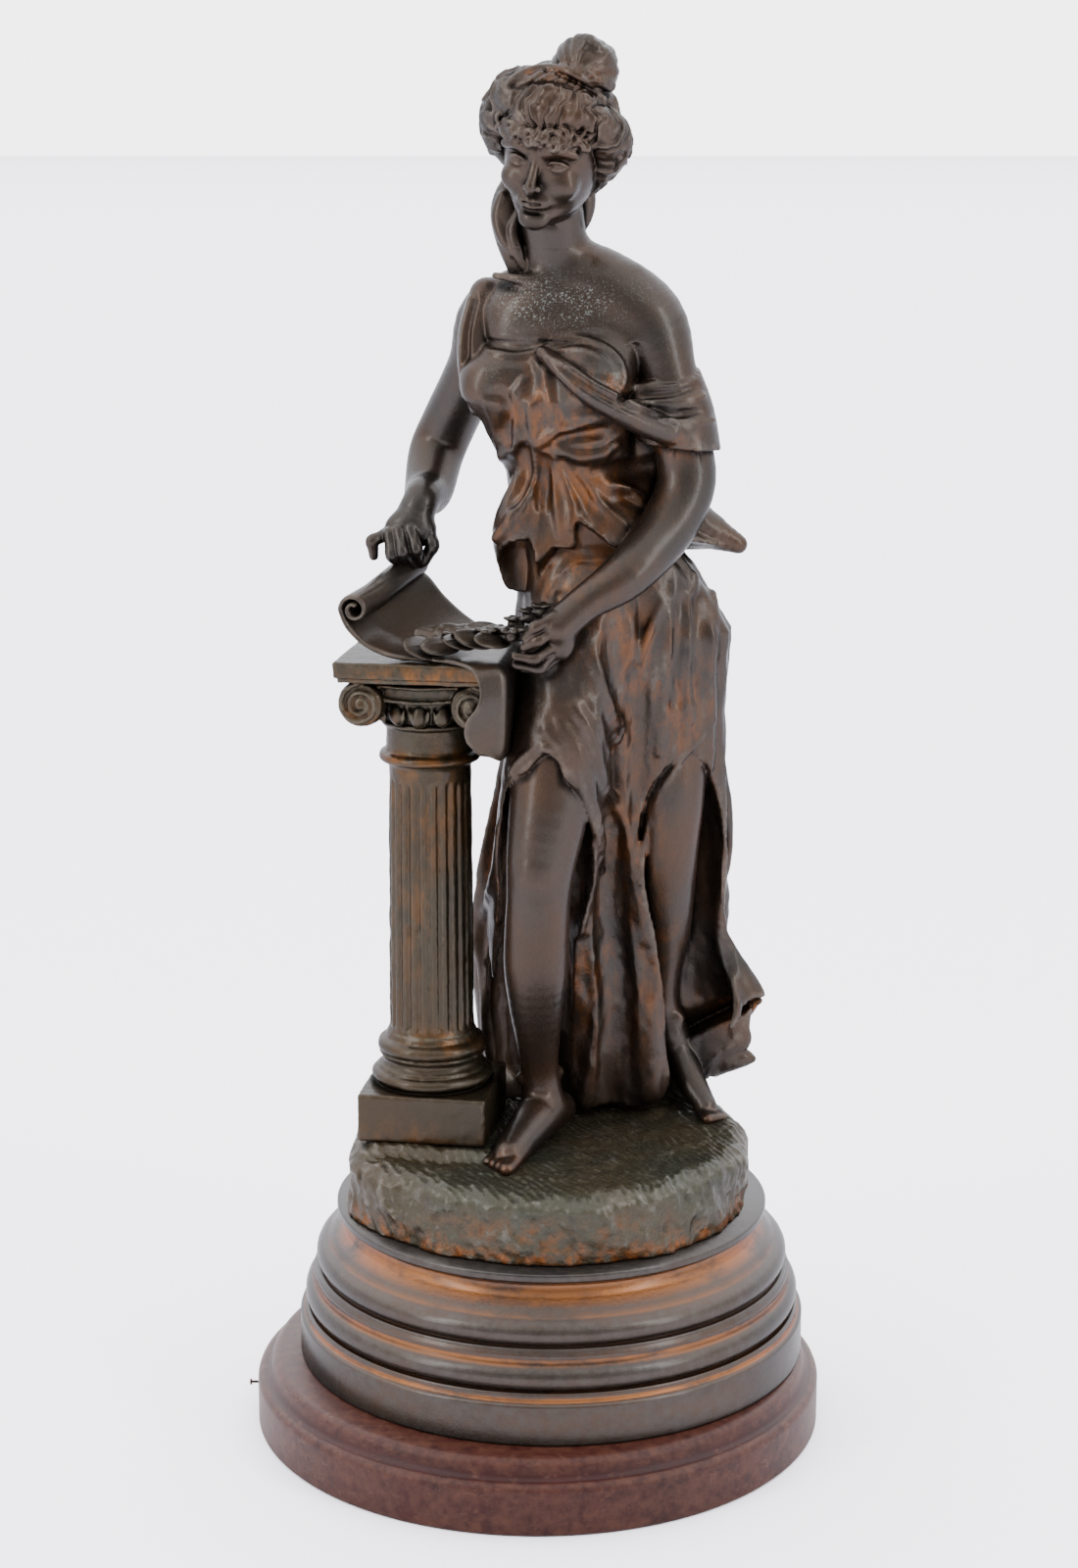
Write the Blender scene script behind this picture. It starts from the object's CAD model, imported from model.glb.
import bpy
import math
import numpy as np
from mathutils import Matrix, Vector


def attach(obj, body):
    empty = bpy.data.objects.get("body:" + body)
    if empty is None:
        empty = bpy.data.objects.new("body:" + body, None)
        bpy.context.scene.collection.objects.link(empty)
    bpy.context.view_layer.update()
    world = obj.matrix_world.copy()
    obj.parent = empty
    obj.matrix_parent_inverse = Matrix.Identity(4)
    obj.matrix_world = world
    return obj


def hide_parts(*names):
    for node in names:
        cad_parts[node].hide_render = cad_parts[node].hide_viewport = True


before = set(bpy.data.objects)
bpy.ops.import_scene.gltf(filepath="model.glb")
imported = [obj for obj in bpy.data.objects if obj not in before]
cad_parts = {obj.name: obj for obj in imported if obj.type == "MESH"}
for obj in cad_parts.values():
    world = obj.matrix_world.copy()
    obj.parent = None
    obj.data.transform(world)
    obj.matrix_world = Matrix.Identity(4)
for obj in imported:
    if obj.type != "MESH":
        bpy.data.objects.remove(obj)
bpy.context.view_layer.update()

# Everything that was cast is described in millimetres from the socle's axis, with height 0 where her front
# foot stands. castingPlace is where that point is in the part's own frame.
castingPlace = np.array([6.0, 6.0, 132.0])


# numbers and small helpers
def vec(x, y, z):
    return np.array([x, y, z], float)


def mix(a, b, share):
    return a + (b - a) * share


def smooth(value, start, end):
    share = np.clip((value - start) / (end - start), 0, 1)
    return share * share * (3 - 2 * share)


def bump(distance, reach):
    share = np.minimum(np.abs(distance) / reach, 1)
    return (1 - share * share) ** 2


def turnFrom(angle, centre):
    return (angle - centre + math.pi) % (2 * math.pi) - math.pi


def unit(arrow):
    return arrow / np.linalg.norm(arrow)


def smoothPath(points, steps):
    points = np.asarray(points, float)
    out = []
    last = len(points) - 1
    for i in range(last):
        p0, p1, p2, p3 = points[max(i - 1, 0)], points[i], points[i + 1], points[min(i + 2, last)]
        for t in np.arange(steps) / steps:
            out.append(0.5 * (2 * p1 + (p2 - p0) * t + (2 * p0 - 5 * p1 + 4 * p2 - p3) * t * t
                              + (3 * p1 - p0 - 3 * p2 + p3) * t ** 3))
    out.append(points[last])
    return np.array(out)


def smoothMin(a, b, k):
    h = np.clip(0.5 + 0.5 * (b - a) / k, 0, 1)
    return b + (a - b) * h - k * h * (1 - h)


def noiseField(x, y, z, size, seed=0):  # soft value noise with lumps about `size` across, from -1 to 1
    x, y, z = x / size, y / size, z / size
    xi, yi, zi = np.floor(x).astype(np.int64), np.floor(y).astype(np.int64), np.floor(z).astype(np.int64)
    fx, fy, fz = x - xi, y - yi, z - zi
    fx, fy, fz = fx * fx * (3 - 2 * fx), fy * fy * (3 - 2 * fy), fz * fz * (3 - 2 * fz)

    def corner(i, j, k):
        n = (xi + i) * 374761393 + (yi + j) * 668265263 + (zi + k) * 2147483647 + seed * 1442695041
        n = (n ^ (n >> 13)) * 1274126177
        return ((n ^ (n >> 16)) & 65535) / 32767.5 - 1

    low = mix(mix(corner(0, 0, 0), corner(1, 0, 0), fx), mix(corner(0, 1, 0), corner(1, 1, 0), fx), fy)
    high = mix(mix(corner(0, 0, 1), corner(1, 0, 1), fx), mix(corner(0, 1, 1), corner(1, 1, 1), fx), fy)
    return mix(low, high, fz)


# forms: each has a box, a distance in millimetres and how softly it melts into what was modelled before it
def tube(points, radii, blend=1.0, steps=4, way=1, squash=None):
    line = smoothPath(np.column_stack([np.asarray(points, float), np.broadcast_to(radii, len(points))]),
                      steps)
    centres, sizes = line[:, :3], np.maximum(line[:, 3], 0.05)
    margin = sizes.max() * (1 if squash is None else 1 / squash[1]) + 1

    def distance(x, y, z):
        best = np.full(x.shape, 1e3, np.float32)
        p = np.stack([x, y, z], 1)
        if squash is not None:
            middle = centres.mean(0)
            along = np.asarray(squash[0], float) / np.linalg.norm(squash[0])
            p = p + np.outer((p - middle) @ along, along) * (1 / squash[1] - 1)
            bones = centres + np.outer((centres - middle) @ along, along) * (1 / squash[1] - 1)
        else:
            bones = centres
        for a, b, ra, rb in zip(bones[:-1], bones[1:], sizes[:-1], sizes[1:]):
            bone = b - a
            share = np.clip((p - a) @ bone / max(bone @ bone, 1e-6), 0, 1)
            away = p - a - share[:, None] * bone
            best = np.minimum(best, np.sqrt((away * away).sum(1)) - mix(ra, rb, share))
        return best

    return {"low": centres.min(0) - margin, "high": centres.max(0) + margin, "distance": distance,
            "blend": blend, "way": way}


def egg(centre, half, axes=None, blend=1.0, way=1):
    centre, half = np.asarray(centre, float), np.asarray(half, float)
    axes = np.eye(3) if axes is None else axes
    reach = np.sqrt(((axes.T * half) ** 2).sum(1))

    def distance(x, y, z):
        q = (np.stack([x, y, z], 1) - centre) @ axes.T
        k0 = np.sqrt(((q / half) ** 2).sum(1))
        k1 = np.sqrt(((q / (half * half)) ** 2).sum(1))
        return k0 * (k0 - 1) / np.maximum(k1, 1e-6)

    return {"low": centre - reach - 1, "high": centre + reach + 1, "distance": distance,
            "blend": blend, "way": way}


def block(low, high, distance, blend=1.0, way=1):
    low, high = ([0, 0, 0] if corner is None else corner for corner in (low, high))
    return {"low": np.asarray(low, float), "high": np.asarray(high, float), "distance": distance,
            "blend": blend, "way": way}


def layerDistance(forms, x, y, z, far=9.0):
    d = np.full(x.shape, far, np.float32)
    for form in forms:
        pad = form["blend"] + 7
        first, last = np.searchsorted(z, [form["low"][2] - pad, form["high"][2] + pad])
        if first == last:
            continue
        part = slice(first, last)
        near = ((x[part] > form["low"][0] - pad) & (x[part] < form["high"][0] + pad)
                & (y[part] > form["low"][1] - pad) & (y[part] < form["high"][1] + pad))
        spots = np.nonzero(near)[0] + first
        if not len(spots):
            continue
        own = form["distance"](x[spots], y[spots], z[spots])
        if form["way"] > 0:
            d[spots] = smoothMin(d[spots], own, form["blend"])
        else:
            d[spots] = -smoothMin(-d[spots], own, form["blend"])
    return d


# from a distance field to a mesh, level by level, with one vertex in each cell that the surface crosses
def doubled(a):
    for axis in range(3):
        a = np.moveaxis(a, axis, 0)
        b = np.empty((2 * len(a) - 1,) + a.shape[1:], np.float32)
        b[0::2] = a
        b[1::2] = (a[:-1] + a[1:]) / 2
        a = np.moveaxis(b, 0, axis)
    return np.ascontiguousarray(a)


def carve(distanceAt, low, high, step):
    low = np.asarray(low, float) - 2 * step
    count = np.ceil((np.asarray(high, float) + 2 * step - low) / (4 * step)).astype(int) + 1
    grid, spacing = None, 4 * step
    for level in range(3):
        if grid is None:
            shape = tuple(count[::-1])
            grid = np.zeros(shape, np.float32)
            spots = np.arange(grid.size)
        else:
            grid = doubled(grid)
            spacing /= 2
            spots = np.nonzero(np.abs(grid).ravel() < spacing * 1.9 + 1.2)[0]
        zi, yi, xi = np.unravel_index(spots, grid.shape)
        x, y, z = ((low[i] + index * spacing).astype(np.float32) for i, index in enumerate((xi, yi, zi)))
        grid.ravel()[spots] = distanceAt(x, y, z)
    inside = grid < 0
    corners = [(i, j, k) for i in (0, 1) for j in (0, 1) for k in (0, 1)]
    nz, ny, nx = (n - 1 for n in grid.shape)

    def shifted(a, c):
        return a[c[0]:c[0] + nz, c[1]:c[1] + ny, c[2]:c[2] + nx]

    total = sum(shifted(inside, c).astype(np.int8) for c in corners)
    cells = np.nonzero(((total > 0) & (total < 8)).ravel())[0]
    cz, cy, cx = np.unravel_index(cells, (nz, ny, nx))
    value = {c: grid[cz + c[0], cy + c[1], cx + c[2]] for c in corners}
    sums, hits = np.zeros((len(cells), 3)), np.zeros(len(cells))
    for a in corners:
        for axis in range(3):
            if a[axis]:
                continue
            b = tuple(1 if i == axis else v for i, v in enumerate(a))
            va, vb = value[a], value[b]
            cut = (va < 0) != (vb < 0)
            share = np.where(cut, va / np.where(cut, va - vb, 1), 0)
            place = np.zeros((len(cells), 3))
            for i in range(3):
                place[:, i] = a[i] + (share if i == axis else 0)
            sums += place * cut[:, None]
            hits += cut
    local = sums / hits[:, None]
    points = np.stack([low[0] + (cx + local[:, 2]) * spacing, low[1] + (cy + local[:, 1]) * spacing,
                       low[2] + (cz + local[:, 0]) * spacing], 1)
    number = np.full(nz * ny * nx, -1, np.int32)
    number[cells] = np.arange(len(cells))
    number = number.reshape(nz, ny, nx)
    quads = []
    for axis in range(3):
        others = [i for i in range(3) if i != axis]
        a = inside[:-1] if axis == 0 else inside[:, :-1] if axis == 1 else inside[:, :, :-1]
        b = inside[1:] if axis == 0 else inside[:, 1:] if axis == 1 else inside[:, :, 1:]
        for flip, crossing in ((False, a & ~b), (True, ~a & b)):
            e = np.array(np.nonzero(crossing))
            ok = np.all([(e[i] > 0) & (e[i] < number.shape[i]) for i in others],
                        0) & (e[axis] < number.shape[axis])
            e = e[:, ok]
            ring = []
            for da, db in ((1, 1), (0, 1), (0, 0), (1, 0)):
                c = [e[0], e[1], e[2]]
                c[others[0]] = e[others[0]] - da
                c[others[1]] = e[others[1]] - db
                ring.append(number[c[0], c[1], c[2]])
            quad = np.stack(ring, 1)
            if (axis == 1) != flip:
                quad = quad[:, ::-1]
            quads.append(quad)
    quads = np.concatenate(quads)
    quads = quads[(quads >= 0).all(1)][:, ::-1]
    return points, quads


def placed(name, mesh, material, node):
    mesh.polygons.foreach_set("use_smooth", np.ones(len(mesh.polygons), bool))
    mesh.materials.append(material)
    piece = bpy.data.objects.new(name, mesh)
    bpy.context.scene.collection.objects.link(piece)
    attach(piece, "root")
    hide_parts(node)
    return piece


def meshPiece(name, points, faces, material, node):
    mesh = bpy.data.meshes.new(name)
    points = (np.asarray(points) + castingPlace) / 1000
    faces = np.asarray(faces, np.int32)
    mesh.vertices.add(len(points))
    mesh.vertices.foreach_set("co", points.astype(np.float32).ravel())
    mesh.loops.add(faces.size)
    mesh.loops.foreach_set("vertex_index", faces.ravel())
    mesh.polygons.add(len(faces))
    mesh.polygons.foreach_set("loop_start", np.arange(len(faces), dtype=np.int32) * faces.shape[1])
    mesh.update(calc_edges=True)
    mesh.validate()
    return placed(name, mesh, material, node)


def applied(piece):  # the piece's modifiers become part of its mesh
    changed = bpy.data.meshes.new_from_object(piece.evaluated_get(bpy.context.evaluated_depsgraph_get()))
    before = piece.data
    piece.modifiers.clear()
    piece.data = changed
    bpy.data.meshes.remove(before)


def slimmed(piece, most):  # fewer triangles where the surface is flat
    triangles = sum(len(p.vertices) - 2 for p in piece.data.polygons)
    if triangles <= most:
        return
    change = piece.modifiers.new("slim", "DECIMATE")
    change.ratio = most / triangles
    applied(piece)
    piece.data.polygons.foreach_set("use_smooth", np.ones(len(piece.data.polygons), bool))
    piece.data.update()


# how far each point lies below the smoothed surface, in millimetres, for each of the smoothing rounds
def hollowOf(points, edges, normals, rounds):
    count = len(points)
    a, b = np.concatenate([edges[:, 0], edges[:, 1]]), np.concatenate([edges[:, 1], edges[:, 0]])
    weight = np.maximum(np.bincount(a, minlength=count), 1)
    soft = points.copy()
    out, done = [], 0
    for target in rounds:
        for _ in range(target - done):
            soft = np.stack([np.bincount(a, soft[b, i], count) / weight for i in range(3)], 1)
        done = target
        out.append(((soft - points) * normals).sum(1))
    return out


# per point: how hollow the place is, and how much of the ochre and of the wear the sculpture has there
def paint(piece, ochreSpots=(), wearSpots=(), place=castingPlace, rounds=(4, 24), distanceAt=None,
          reaches=(2.5, 8.0), usual=None):
    usual = {} if usual is None else usual
    mesh = piece.data
    count = len(mesh.vertices)
    flat = np.empty(count * 3, np.float32)
    mesh.vertices.foreach_get("co", flat)
    points = flat.reshape(-1, 3) * 1000.0 - place
    mesh.vertices.foreach_get("normal", flat)
    normals = flat.reshape(-1, 3).astype(float)

    def openness(reach):  # 1 before an even surface, less near other parts, more on an edge
        probe = points + normals * reach
        order = np.argsort(probe[:, 2], kind="stable")
        there = probe[order].astype(np.float32)
        found = np.empty(count)
        found[order] = distanceAt(there[:, 0], there[:, 1], there[:, 2]) / reach
        return found / usual.setdefault(reach, np.median(found))

    if distanceAt:
        hollow = 0.34 + 0.9 * np.clip(1 - openness(reaches[0]), -0.15, 0.55)
        hollow += 0.45 * np.clip(1 - openness(reaches[1]), 0, 1)
        hollow -= 0.7 * np.clip(1 - openness(-reaches[0]), -0.1, 0.5)
    else:
        pairs = np.empty(len(mesh.edges) * 2, np.int32)
        mesh.edges.foreach_get("vertices", pairs)
        fine, middle = hollowOf(points, pairs.reshape(-1, 2), normals, rounds)
        hollow = 0.34 + np.clip(0.7 * fine, -0.3, 0.35) + np.clip(0.2 * middle, -0.25, 0.3)
    hollow = np.clip(hollow, 0, 1)

    def regions(spots):
        share = np.zeros(count)
        for x, y, z, rx, ry, rz, strength in spots:
            q = ((points - (x, y, z)) / (rx, ry, rz)) ** 2
            share = np.maximum(share, strength * np.exp(-q.sum(1)))
        return share

    for label, values in (("hollow", hollow), ("ochre", regions(ochreSpots)), ("wear", regions(wearSpots))):
        layer = mesh.attributes.new(label, "FLOAT", "POINT")
        layer.data.foreach_set("value", values.astype(np.float32))


# materials
def colour(code):
    parts = [int(code[i:i + 2], 16) / 255 for i in (1, 3, 5)]
    return tuple(c / 12.92 if c <= 0.04045 else ((c + 0.055) / 1.055) ** 2.4 for c in parts) + (1.0,)


def newMaterial(name):
    made = bpy.data.materials.new(name)
    made.use_nodes = True
    made.node_tree.nodes.clear()
    return made


def add(made, kind, inputs=None, stops=None, **settings):
    item = made.node_tree.nodes.new("ShaderNode" + kind)
    for key, value in settings.items():
        setattr(item, key, value)
    for key, value in (inputs or {}).items():
        if isinstance(value, bpy.types.NodeSocket):
            made.node_tree.links.new(value, item.inputs[key])
        else:
            item.inputs[key].default_value = value
    if stops:
        ramp = item.color_ramp
        while len(ramp.elements) < len(stops):
            ramp.elements.new(0.5)
        for element, (position, value) in zip(ramp.elements, stops):
            element.position = position
            element.color = colour(value) if isinstance(value, str) else (value, value, value, 1)
    return item


def times(made, first, second, clamped=False):
    return add(made, "Math", {0: first, 1: second}, operation="MULTIPLY", use_clamp=clamped).outputs[0]


def ramped(made, value, *stops):
    return add(made, "ValToRGB", {"Fac": value}, stops).outputs[0]


# a soft black-and-white pattern with lumps of the given size, in millimetres, in the piece's own place
def cloudy(made, lumpSize, detail=4.0, roughness=0.55, stops=((0.35, 0.0), (0.65, 1.0)), squeeze=(1, 1, 1)):
    place = add(made, "TexCoord").outputs["Object"]
    scaled = add(made, "Mapping", {"Vector": place, "Scale": squeeze})
    noise = add(made, "TexNoise", {"Vector": scaled.outputs[0], "Scale": 1000.0 / lumpSize,
                                   "Detail": detail, "Roughness": roughness})
    return add(made, "ValToRGB", {"Fac": noise.outputs["Fac"]}, stops).outputs["Color"]


def blendOf(made, share, first, second, kind="MIX"):
    item = add(made, "Mix", data_type="RGBA", blend_type=kind)
    for index, value in ((0, share), (6, first), (7, second)):
        if isinstance(value, bpy.types.NodeSocket):
            made.node_tree.links.new(value, item.inputs[index])
        else:
            item.inputs[index].default_value = value
    return item.outputs[2]


# cast metal under old brown and black lacquer, with ochre powder in the folds, rubbed pale on the ridges
def patina(name, look):
    made = newMaterial(name)
    hollow = add(made, "Attribute", attribute_name="hollow").outputs["Fac"]
    ochreHere = add(made, "Attribute", attribute_name="ochre").outputs["Fac"]
    wearHere = add(made, "Attribute", attribute_name="wear").outputs["Fac"]
    patches = cloudy(made, look["patchSize"], 4, 0.5, ((0.36, 0.0), (0.66, 1.0)))
    fine = cloudy(made, look["grainSize"], 3, 0.6, ((0.3, 0.0), (0.7, 1.0)))
    base = blendOf(made, patches, colour(look["cool"]), colour(look["warm"]))
    base = blendOf(made, times(made, fine, 0.3), base, colour(look["deep"]))
    ochreNoise = cloudy(made, look["ochreSize"], 6, 0.65, look["ochreRange"], look["ochreStretch"])
    shallow = ramped(made, hollow, (0.12, 0.15), (0.36, 0.7), (0.6, 1.0), (0.95, 0.5))
    ochre = times(made, times(made, ochreHere, ochreNoise), shallow, True)
    base = blendOf(made, ochre, base, colour(look["ochre"]))
    dark = ramped(made, hollow, (0.46, 0.0), (1.0, 0.88))
    base = blendOf(made, dark, base, colour(look["black"]))
    rubbed = ramped(made, hollow, (0.0, 0.75), (0.3, 0.0))
    rubbed = times(made, rubbed, cloudy(made, 5, 5, 0.7, ((0.4, 0.1), (0.65, 1.0))))
    base = blendOf(made, rubbed, base, colour(look["rubbed"]))
    speckle = cloudy(made, 0.8, 3, 0.75, ((0.54, 0.0), (0.66, 1.0)))
    clusters = cloudy(made, 6, 3, 0.6, ((0.36, 0.15), (0.55, 1.0)))
    chalk = times(made, times(made, speckle, clusters), wearHere, True)
    base = blendOf(made, chalk, base, colour(look["chalk"]))
    roughnesses = look["roughness"], look["roughness"] + 0.1, 0.75
    smoother, rougher, hollows = ((value, value, value, 1) for value in roughnesses)
    rough = blendOf(made, dark, blendOf(made, patches, smoother, rougher), hollows)
    bumpMix = blendOf(made, 0.5, fine, cloudy(made, look["pitSize"], 4, 0.7, ((0.3, 0.0), (0.7, 1.0))))
    lift = add(made, "Bump", {"Height": bumpMix, "Strength": look["bump"], "Distance": 0.0006})
    lacquer = times(made, look["lacquer"], add(made, "Math", {0: 1.0, 1: dark},
                                               operation="SUBTRACT").outputs[0])
    shader = add(made, "BsdfPrincipled", {"Base Color": base, "Roughness": rough,
                                          "Metallic": look["metallic"],
                                          "Normal": lift.outputs[0], "Specular Tint": colour(look["rim"]),
                                          "Coat Weight": lacquer, "Coat Roughness": look["coatRoughness"]})
    add(made, "OutputMaterial", {"Surface": shader.outputs[0]})
    return made


# the woman: body, arms and legs first, then the cloth over them, then hair and face
# folds drawn from the front as (x, height, radius, how far it stands out), laid on the forms given
def laid(forms, lines, blend, way=1, steps=4):
    paths = [smoothPath(line, steps) for line in lines]
    every = np.concatenate(paths)
    deeps = np.arange(-70, 50, 0.8)
    x, z = np.repeat(every[:, 0], len(deeps)), np.repeat(every[:, 1], len(deeps))
    y = np.tile(deeps, len(every))
    order = np.argsort(z, kind="stable")
    found = np.empty(len(x), np.float32)
    found[order] = layerDistance(forms, x[order].astype(np.float32), y[order].astype(np.float32),
                                 z[order].astype(np.float32))
    found = found.reshape(len(every), -1)
    depth = deeps[np.argmax(found < 0, 1)]
    met = (found < 0).any(1)
    out, start = [], 0
    for path in paths:
        own = slice(start, start + len(path))
        start += len(path)
        path, front = path[met[own]], depth[own][met[own]]
        if len(path) < 3:
            continue
        kernel = np.array([1, 2, 3, 2, 1]) / 9
        soft = np.convolve(np.pad(front, 2, mode="edge"), kernel, mode="valid")
        centre = np.stack([path[:, 0], soft + way * (path[:, 2] - path[:, 3]), path[:, 1]], 1)
        out.append(tube(centre, path[:, 2], blend, 1, way))
    return out


# a closed form around an upright centre line: levels give height, centre and half sizes
def star(levels, radiusAt, low, high, blend=1.0, stretch=0.85, skew=0.0):
    table = np.array(levels, float)

    def distance(x, y, z):
        middleX, middleY, wide, deep = (np.interp(z, table[:, 0], table[:, i]) for i in range(1, 5))
        u, v = x - middleX, y - middleY
        if skew:
            u, v = u * math.cos(skew) + v * math.sin(skew), v * math.cos(skew) - u * math.sin(skew)
        angle = np.arctan2(v, u)
        ellipse = wide * deep / np.sqrt((deep * np.cos(angle)) ** 2 + (wide * np.sin(angle)) ** 2)
        side = (np.hypot(u, v) - radiusAt(angle, z, ellipse)) * stretch
        return np.maximum(side, np.maximum(table[0, 0] - z, z - table[-1, 0]))

    return block(low, high, distance, blend)


skirtLevels = [
    [4, 25, 36, 52, 27], [30, 27, 35, 58, 28], [52, 27, 33, 60, 28], [80, 23, 31, 56, 28],
    [114, 24, 25, 53, 28],
    [150, 27, 19, 49, 29], [185, 28, 12, 47, 30], [222, 31, 6, 46, 29], [250, 24, 3, 36, 25],
    [266, 16, 2, 31, 22],
]
# angle at the hem, angle at the waist, half reach, height of the big folds round her sides and back
skirtFolds = [[-22, -26, 7, 4], [-4, -10, 7, 5], [14, 8, 8, 6.5], [37, 32, 9, 7], [60, 54, 9, 7],
              [82, 76, 9, 8],
              [104, 98, 9, 7], [126, 120, 9, 8], [148, 140, 9, 7], [170, 160, 9, 8], [192, 182, 8, 8],
              [212, 202, 9, 4]]


def skirtRadius(angle, z, ellipse):
    depth = mix(0.3, 1, 1 - smooth(z, 70, 215))
    best = np.zeros_like(angle)
    waver = 0.05 * np.sin(z * 0.045) + 0.03 * np.sin(z * 0.11 + 1)
    for hem, waist, reach, rise in skirtFolds:
        middle = np.radians(mix(hem, waist, smooth(z, 6, 240))) + waver * (1 if (hem // 10) % 2 else -1)
        away = np.abs(turnFrom(angle, middle)) / math.radians(reach)
        best = np.maximum(best, rise * np.clip(1 - away ** 1.35, 0, 1))
    sweep = 9 * bump(turnFrom(angle, math.radians(-8)), 0.7) * bump(z - 40, 40)
    small = 0.7 * np.sin(angle * 41 + z * 0.05) * smooth(z, 30, 120) * (1 - smooth(z, 200, 250))
    return ellipse + depth * (best - 3) + sweep + small * 0.5


def skirtDistance(x, y, z):
    angle = np.arctan2(y - 34, x - 26)
    lift = 49 * bump(turnFrom(angle, math.radians(-6)), 0.75)
    side = star(skirtLevels, skirtRadius, [0, 0, 0], [0, 0, 0])["distance"](x, y, z)
    return np.maximum(side, (lift - z) * 0.9 + 1)


skirtShell = block([-45, -12, -2], [100, 75, 268], skirtDistance)
thighCloth = tube([(17, -3, 236), (10, -15, 206), (4, -24, 180), (1, -19, 156), (-1, -6, 126), (-4, 8, 95),
                   (-5, 16, 60)],
                  [26, 25, 22.5, 23, 24, 24, 22], 7, 5)
skirtBase = [skirtShell, thighCloth]
skirtRidges = [
    [(13, 223, 2.5, 1.5), (20, 214, 2.6, 2.4), (25, 205, 2.6, 2.8), (30, 192, 2.4, 2.8),
     (32, 178, 2.2, 2.6), (33, 162, 2.2, 2.4),
     (33, 145, 2, 1.4)],
    [(16, 216, 1.5, .5), (22, 203, 1.8, 1.4), (26, 191, 1.8, 1.8), (28, 178, 1.8, 2), (30, 168, 1.7, 1.8),
     (33, 156, 1.6, 1)],
    [(9, 198, 1.8, .8), (15, 189, 2.2, 1.8), (19, 175, 2.4, 2.2), (24, 156, 2.2, 2), (29, 144, 2, 1.8),
     (33, 134, 2, 1)],
    [(3, 192, 1.5, .5), (9, 181, 1.8, 1.2), (14, 169, 1.9, 1.6), (17.5, 155, 1.9, 1.6), (21, 136, 1.8, 1.4),
     (23, 122, 1.6, .8)],
    [(-2, 188, 1, .4), (6, 178, 1.3, .9), (11, 166, 1.3, 1)],
    [(33, 146, 4, 2), (36, 126, 6, 4), (39.5, 106, 7, 5), (42, 84, 7.5, 5.5), (43, 60, 7.5, 5.5),
     (43, 34, 7.5, 5.5),
     (43, 12, 7.5, 5)],
    [(22, 116, 2, .6), (20, 106, 3, 2), (17.5, 90, 3.4, 2.8), (17, 75, 3.6, 3), (20, 60, 3.4, 2.8),
     (21.5, 41, 3.4, 2.8),
     (18, 20, 3.6, 3), (15, 7, 3.8, 3)],
    [(31, 132, 2, 1), (33, 106, 2.2, 1.6), (34.5, 82, 2.2, 1.6), (36, 66, 2, 1)],
    [(51, 244, 3, 1), (51, 226, 3.2, 2.4), (50, 208, 3, 2.2), (47, 188, 2.6, 1.4), (46, 172, 2, .4)],
    [(59.5, 246, 2.2, 1), (59, 222, 2.6, 1.8), (58, 200, 2.4, 1.4), (58, 186, 2, .4)],
    [(68, 246, 2.2, 1), (67.5, 225, 2.6, 1.8), (67, 200, 2.4, 1.4), (68, 184, 2, .4)],
    [(45, 237, 2.2, .8), (41, 226, 2.6, 2), (37, 214, 2.4, 2), (34, 203, 2, 1)],
    [(4, 240, 2, .6), (14, 226, 2.4, 1.2), (25, 214, 2.2, 1)],
    [(-22, 140, 1.8, .6), (-22.5, 126, 2.2, 1.4), (-27, 104, 2.2, 1.6), (-29, 92, 2, 1)],
]
skirtValleys = [
    [(22, 204, 3.8, 0.6), (26, 195, 5, 1.4), (29, 178, 5, 1.4), (31, 165, 4.2, 1)],
    [(23, 150, 4.2, 0.6), (26, 134, 6.2, 1.9), (25.5, 112, 7.4, 2.7), (26, 90, 7.8, 3.2),
     (28.5, 66, 7.8, 3.2), (28, 44, 7.8, 3.2),
     (27, 22, 7, 2.4), (27, 6, 6.2, 1.6)],
    [(30, 230, 8.2, 0.8), (31, 218, 10.2, 2.4), (32, 206, 9, 2.4), (34, 194, 7, 1.6)],
    [(36, 208, 4.6, 0.8), (37, 193, 5.6, 1.8), (37.5, 170, 6, 2.1), (38, 150, 6, 2.1), (39, 134, 5.4, 1.6),
     (40.5, 122, 4.2, 0.8)],
    [(56, 236, 5, 1), (55, 214, 5.4, 1.2), (54, 194, 4.6, 0.6)],
    [(63.5, 236, 4.6, 0.8), (63, 214, 5, 1), (63, 196, 4.2, 0.5)],
    [(13, 84, 4.6, 0.8), (11, 66, 5.8, 1.6), (10, 44, 5.8, 1.6), (9, 24, 5.4, 1.1)],
    [(41, 78, 4, 0.4), (42, 68, 6.2, 1.6), (43, 60, 5, 0.5)],
    [(76, 92, 7, 0.8), (77, 76, 11, 3.2), (78, 62, 13, 4), (77, 50, 11, 3.2)],
]


def underskirtRadius(angle, z, ellipse):
    pleats = 2.2 * np.sin(angle * 26 + z * .12)
    return skirtRadius(angle, z, ellipse) - 6 + pleats + 1.2 * np.sin(z * .32 + angle * 9)


def underskirtDistance(x, y, z):  # the inner layer that shows below the lifted hem at her left heel
    angle = np.arctan2(y - 34, x - 26)
    within = star(skirtLevels, underskirtRadius, None, None)["distance"](x, y, z)
    lift = 12 * bump(turnFrom(angle, math.radians(6)), 0.5)
    wedge = (np.abs(turnFrom(angle, math.radians(22))) - math.radians(30)) * 36
    return np.maximum(np.maximum(within, lift + 1 - z), np.maximum(wedge, z - (31 + .55 * (x - 63))))


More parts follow.
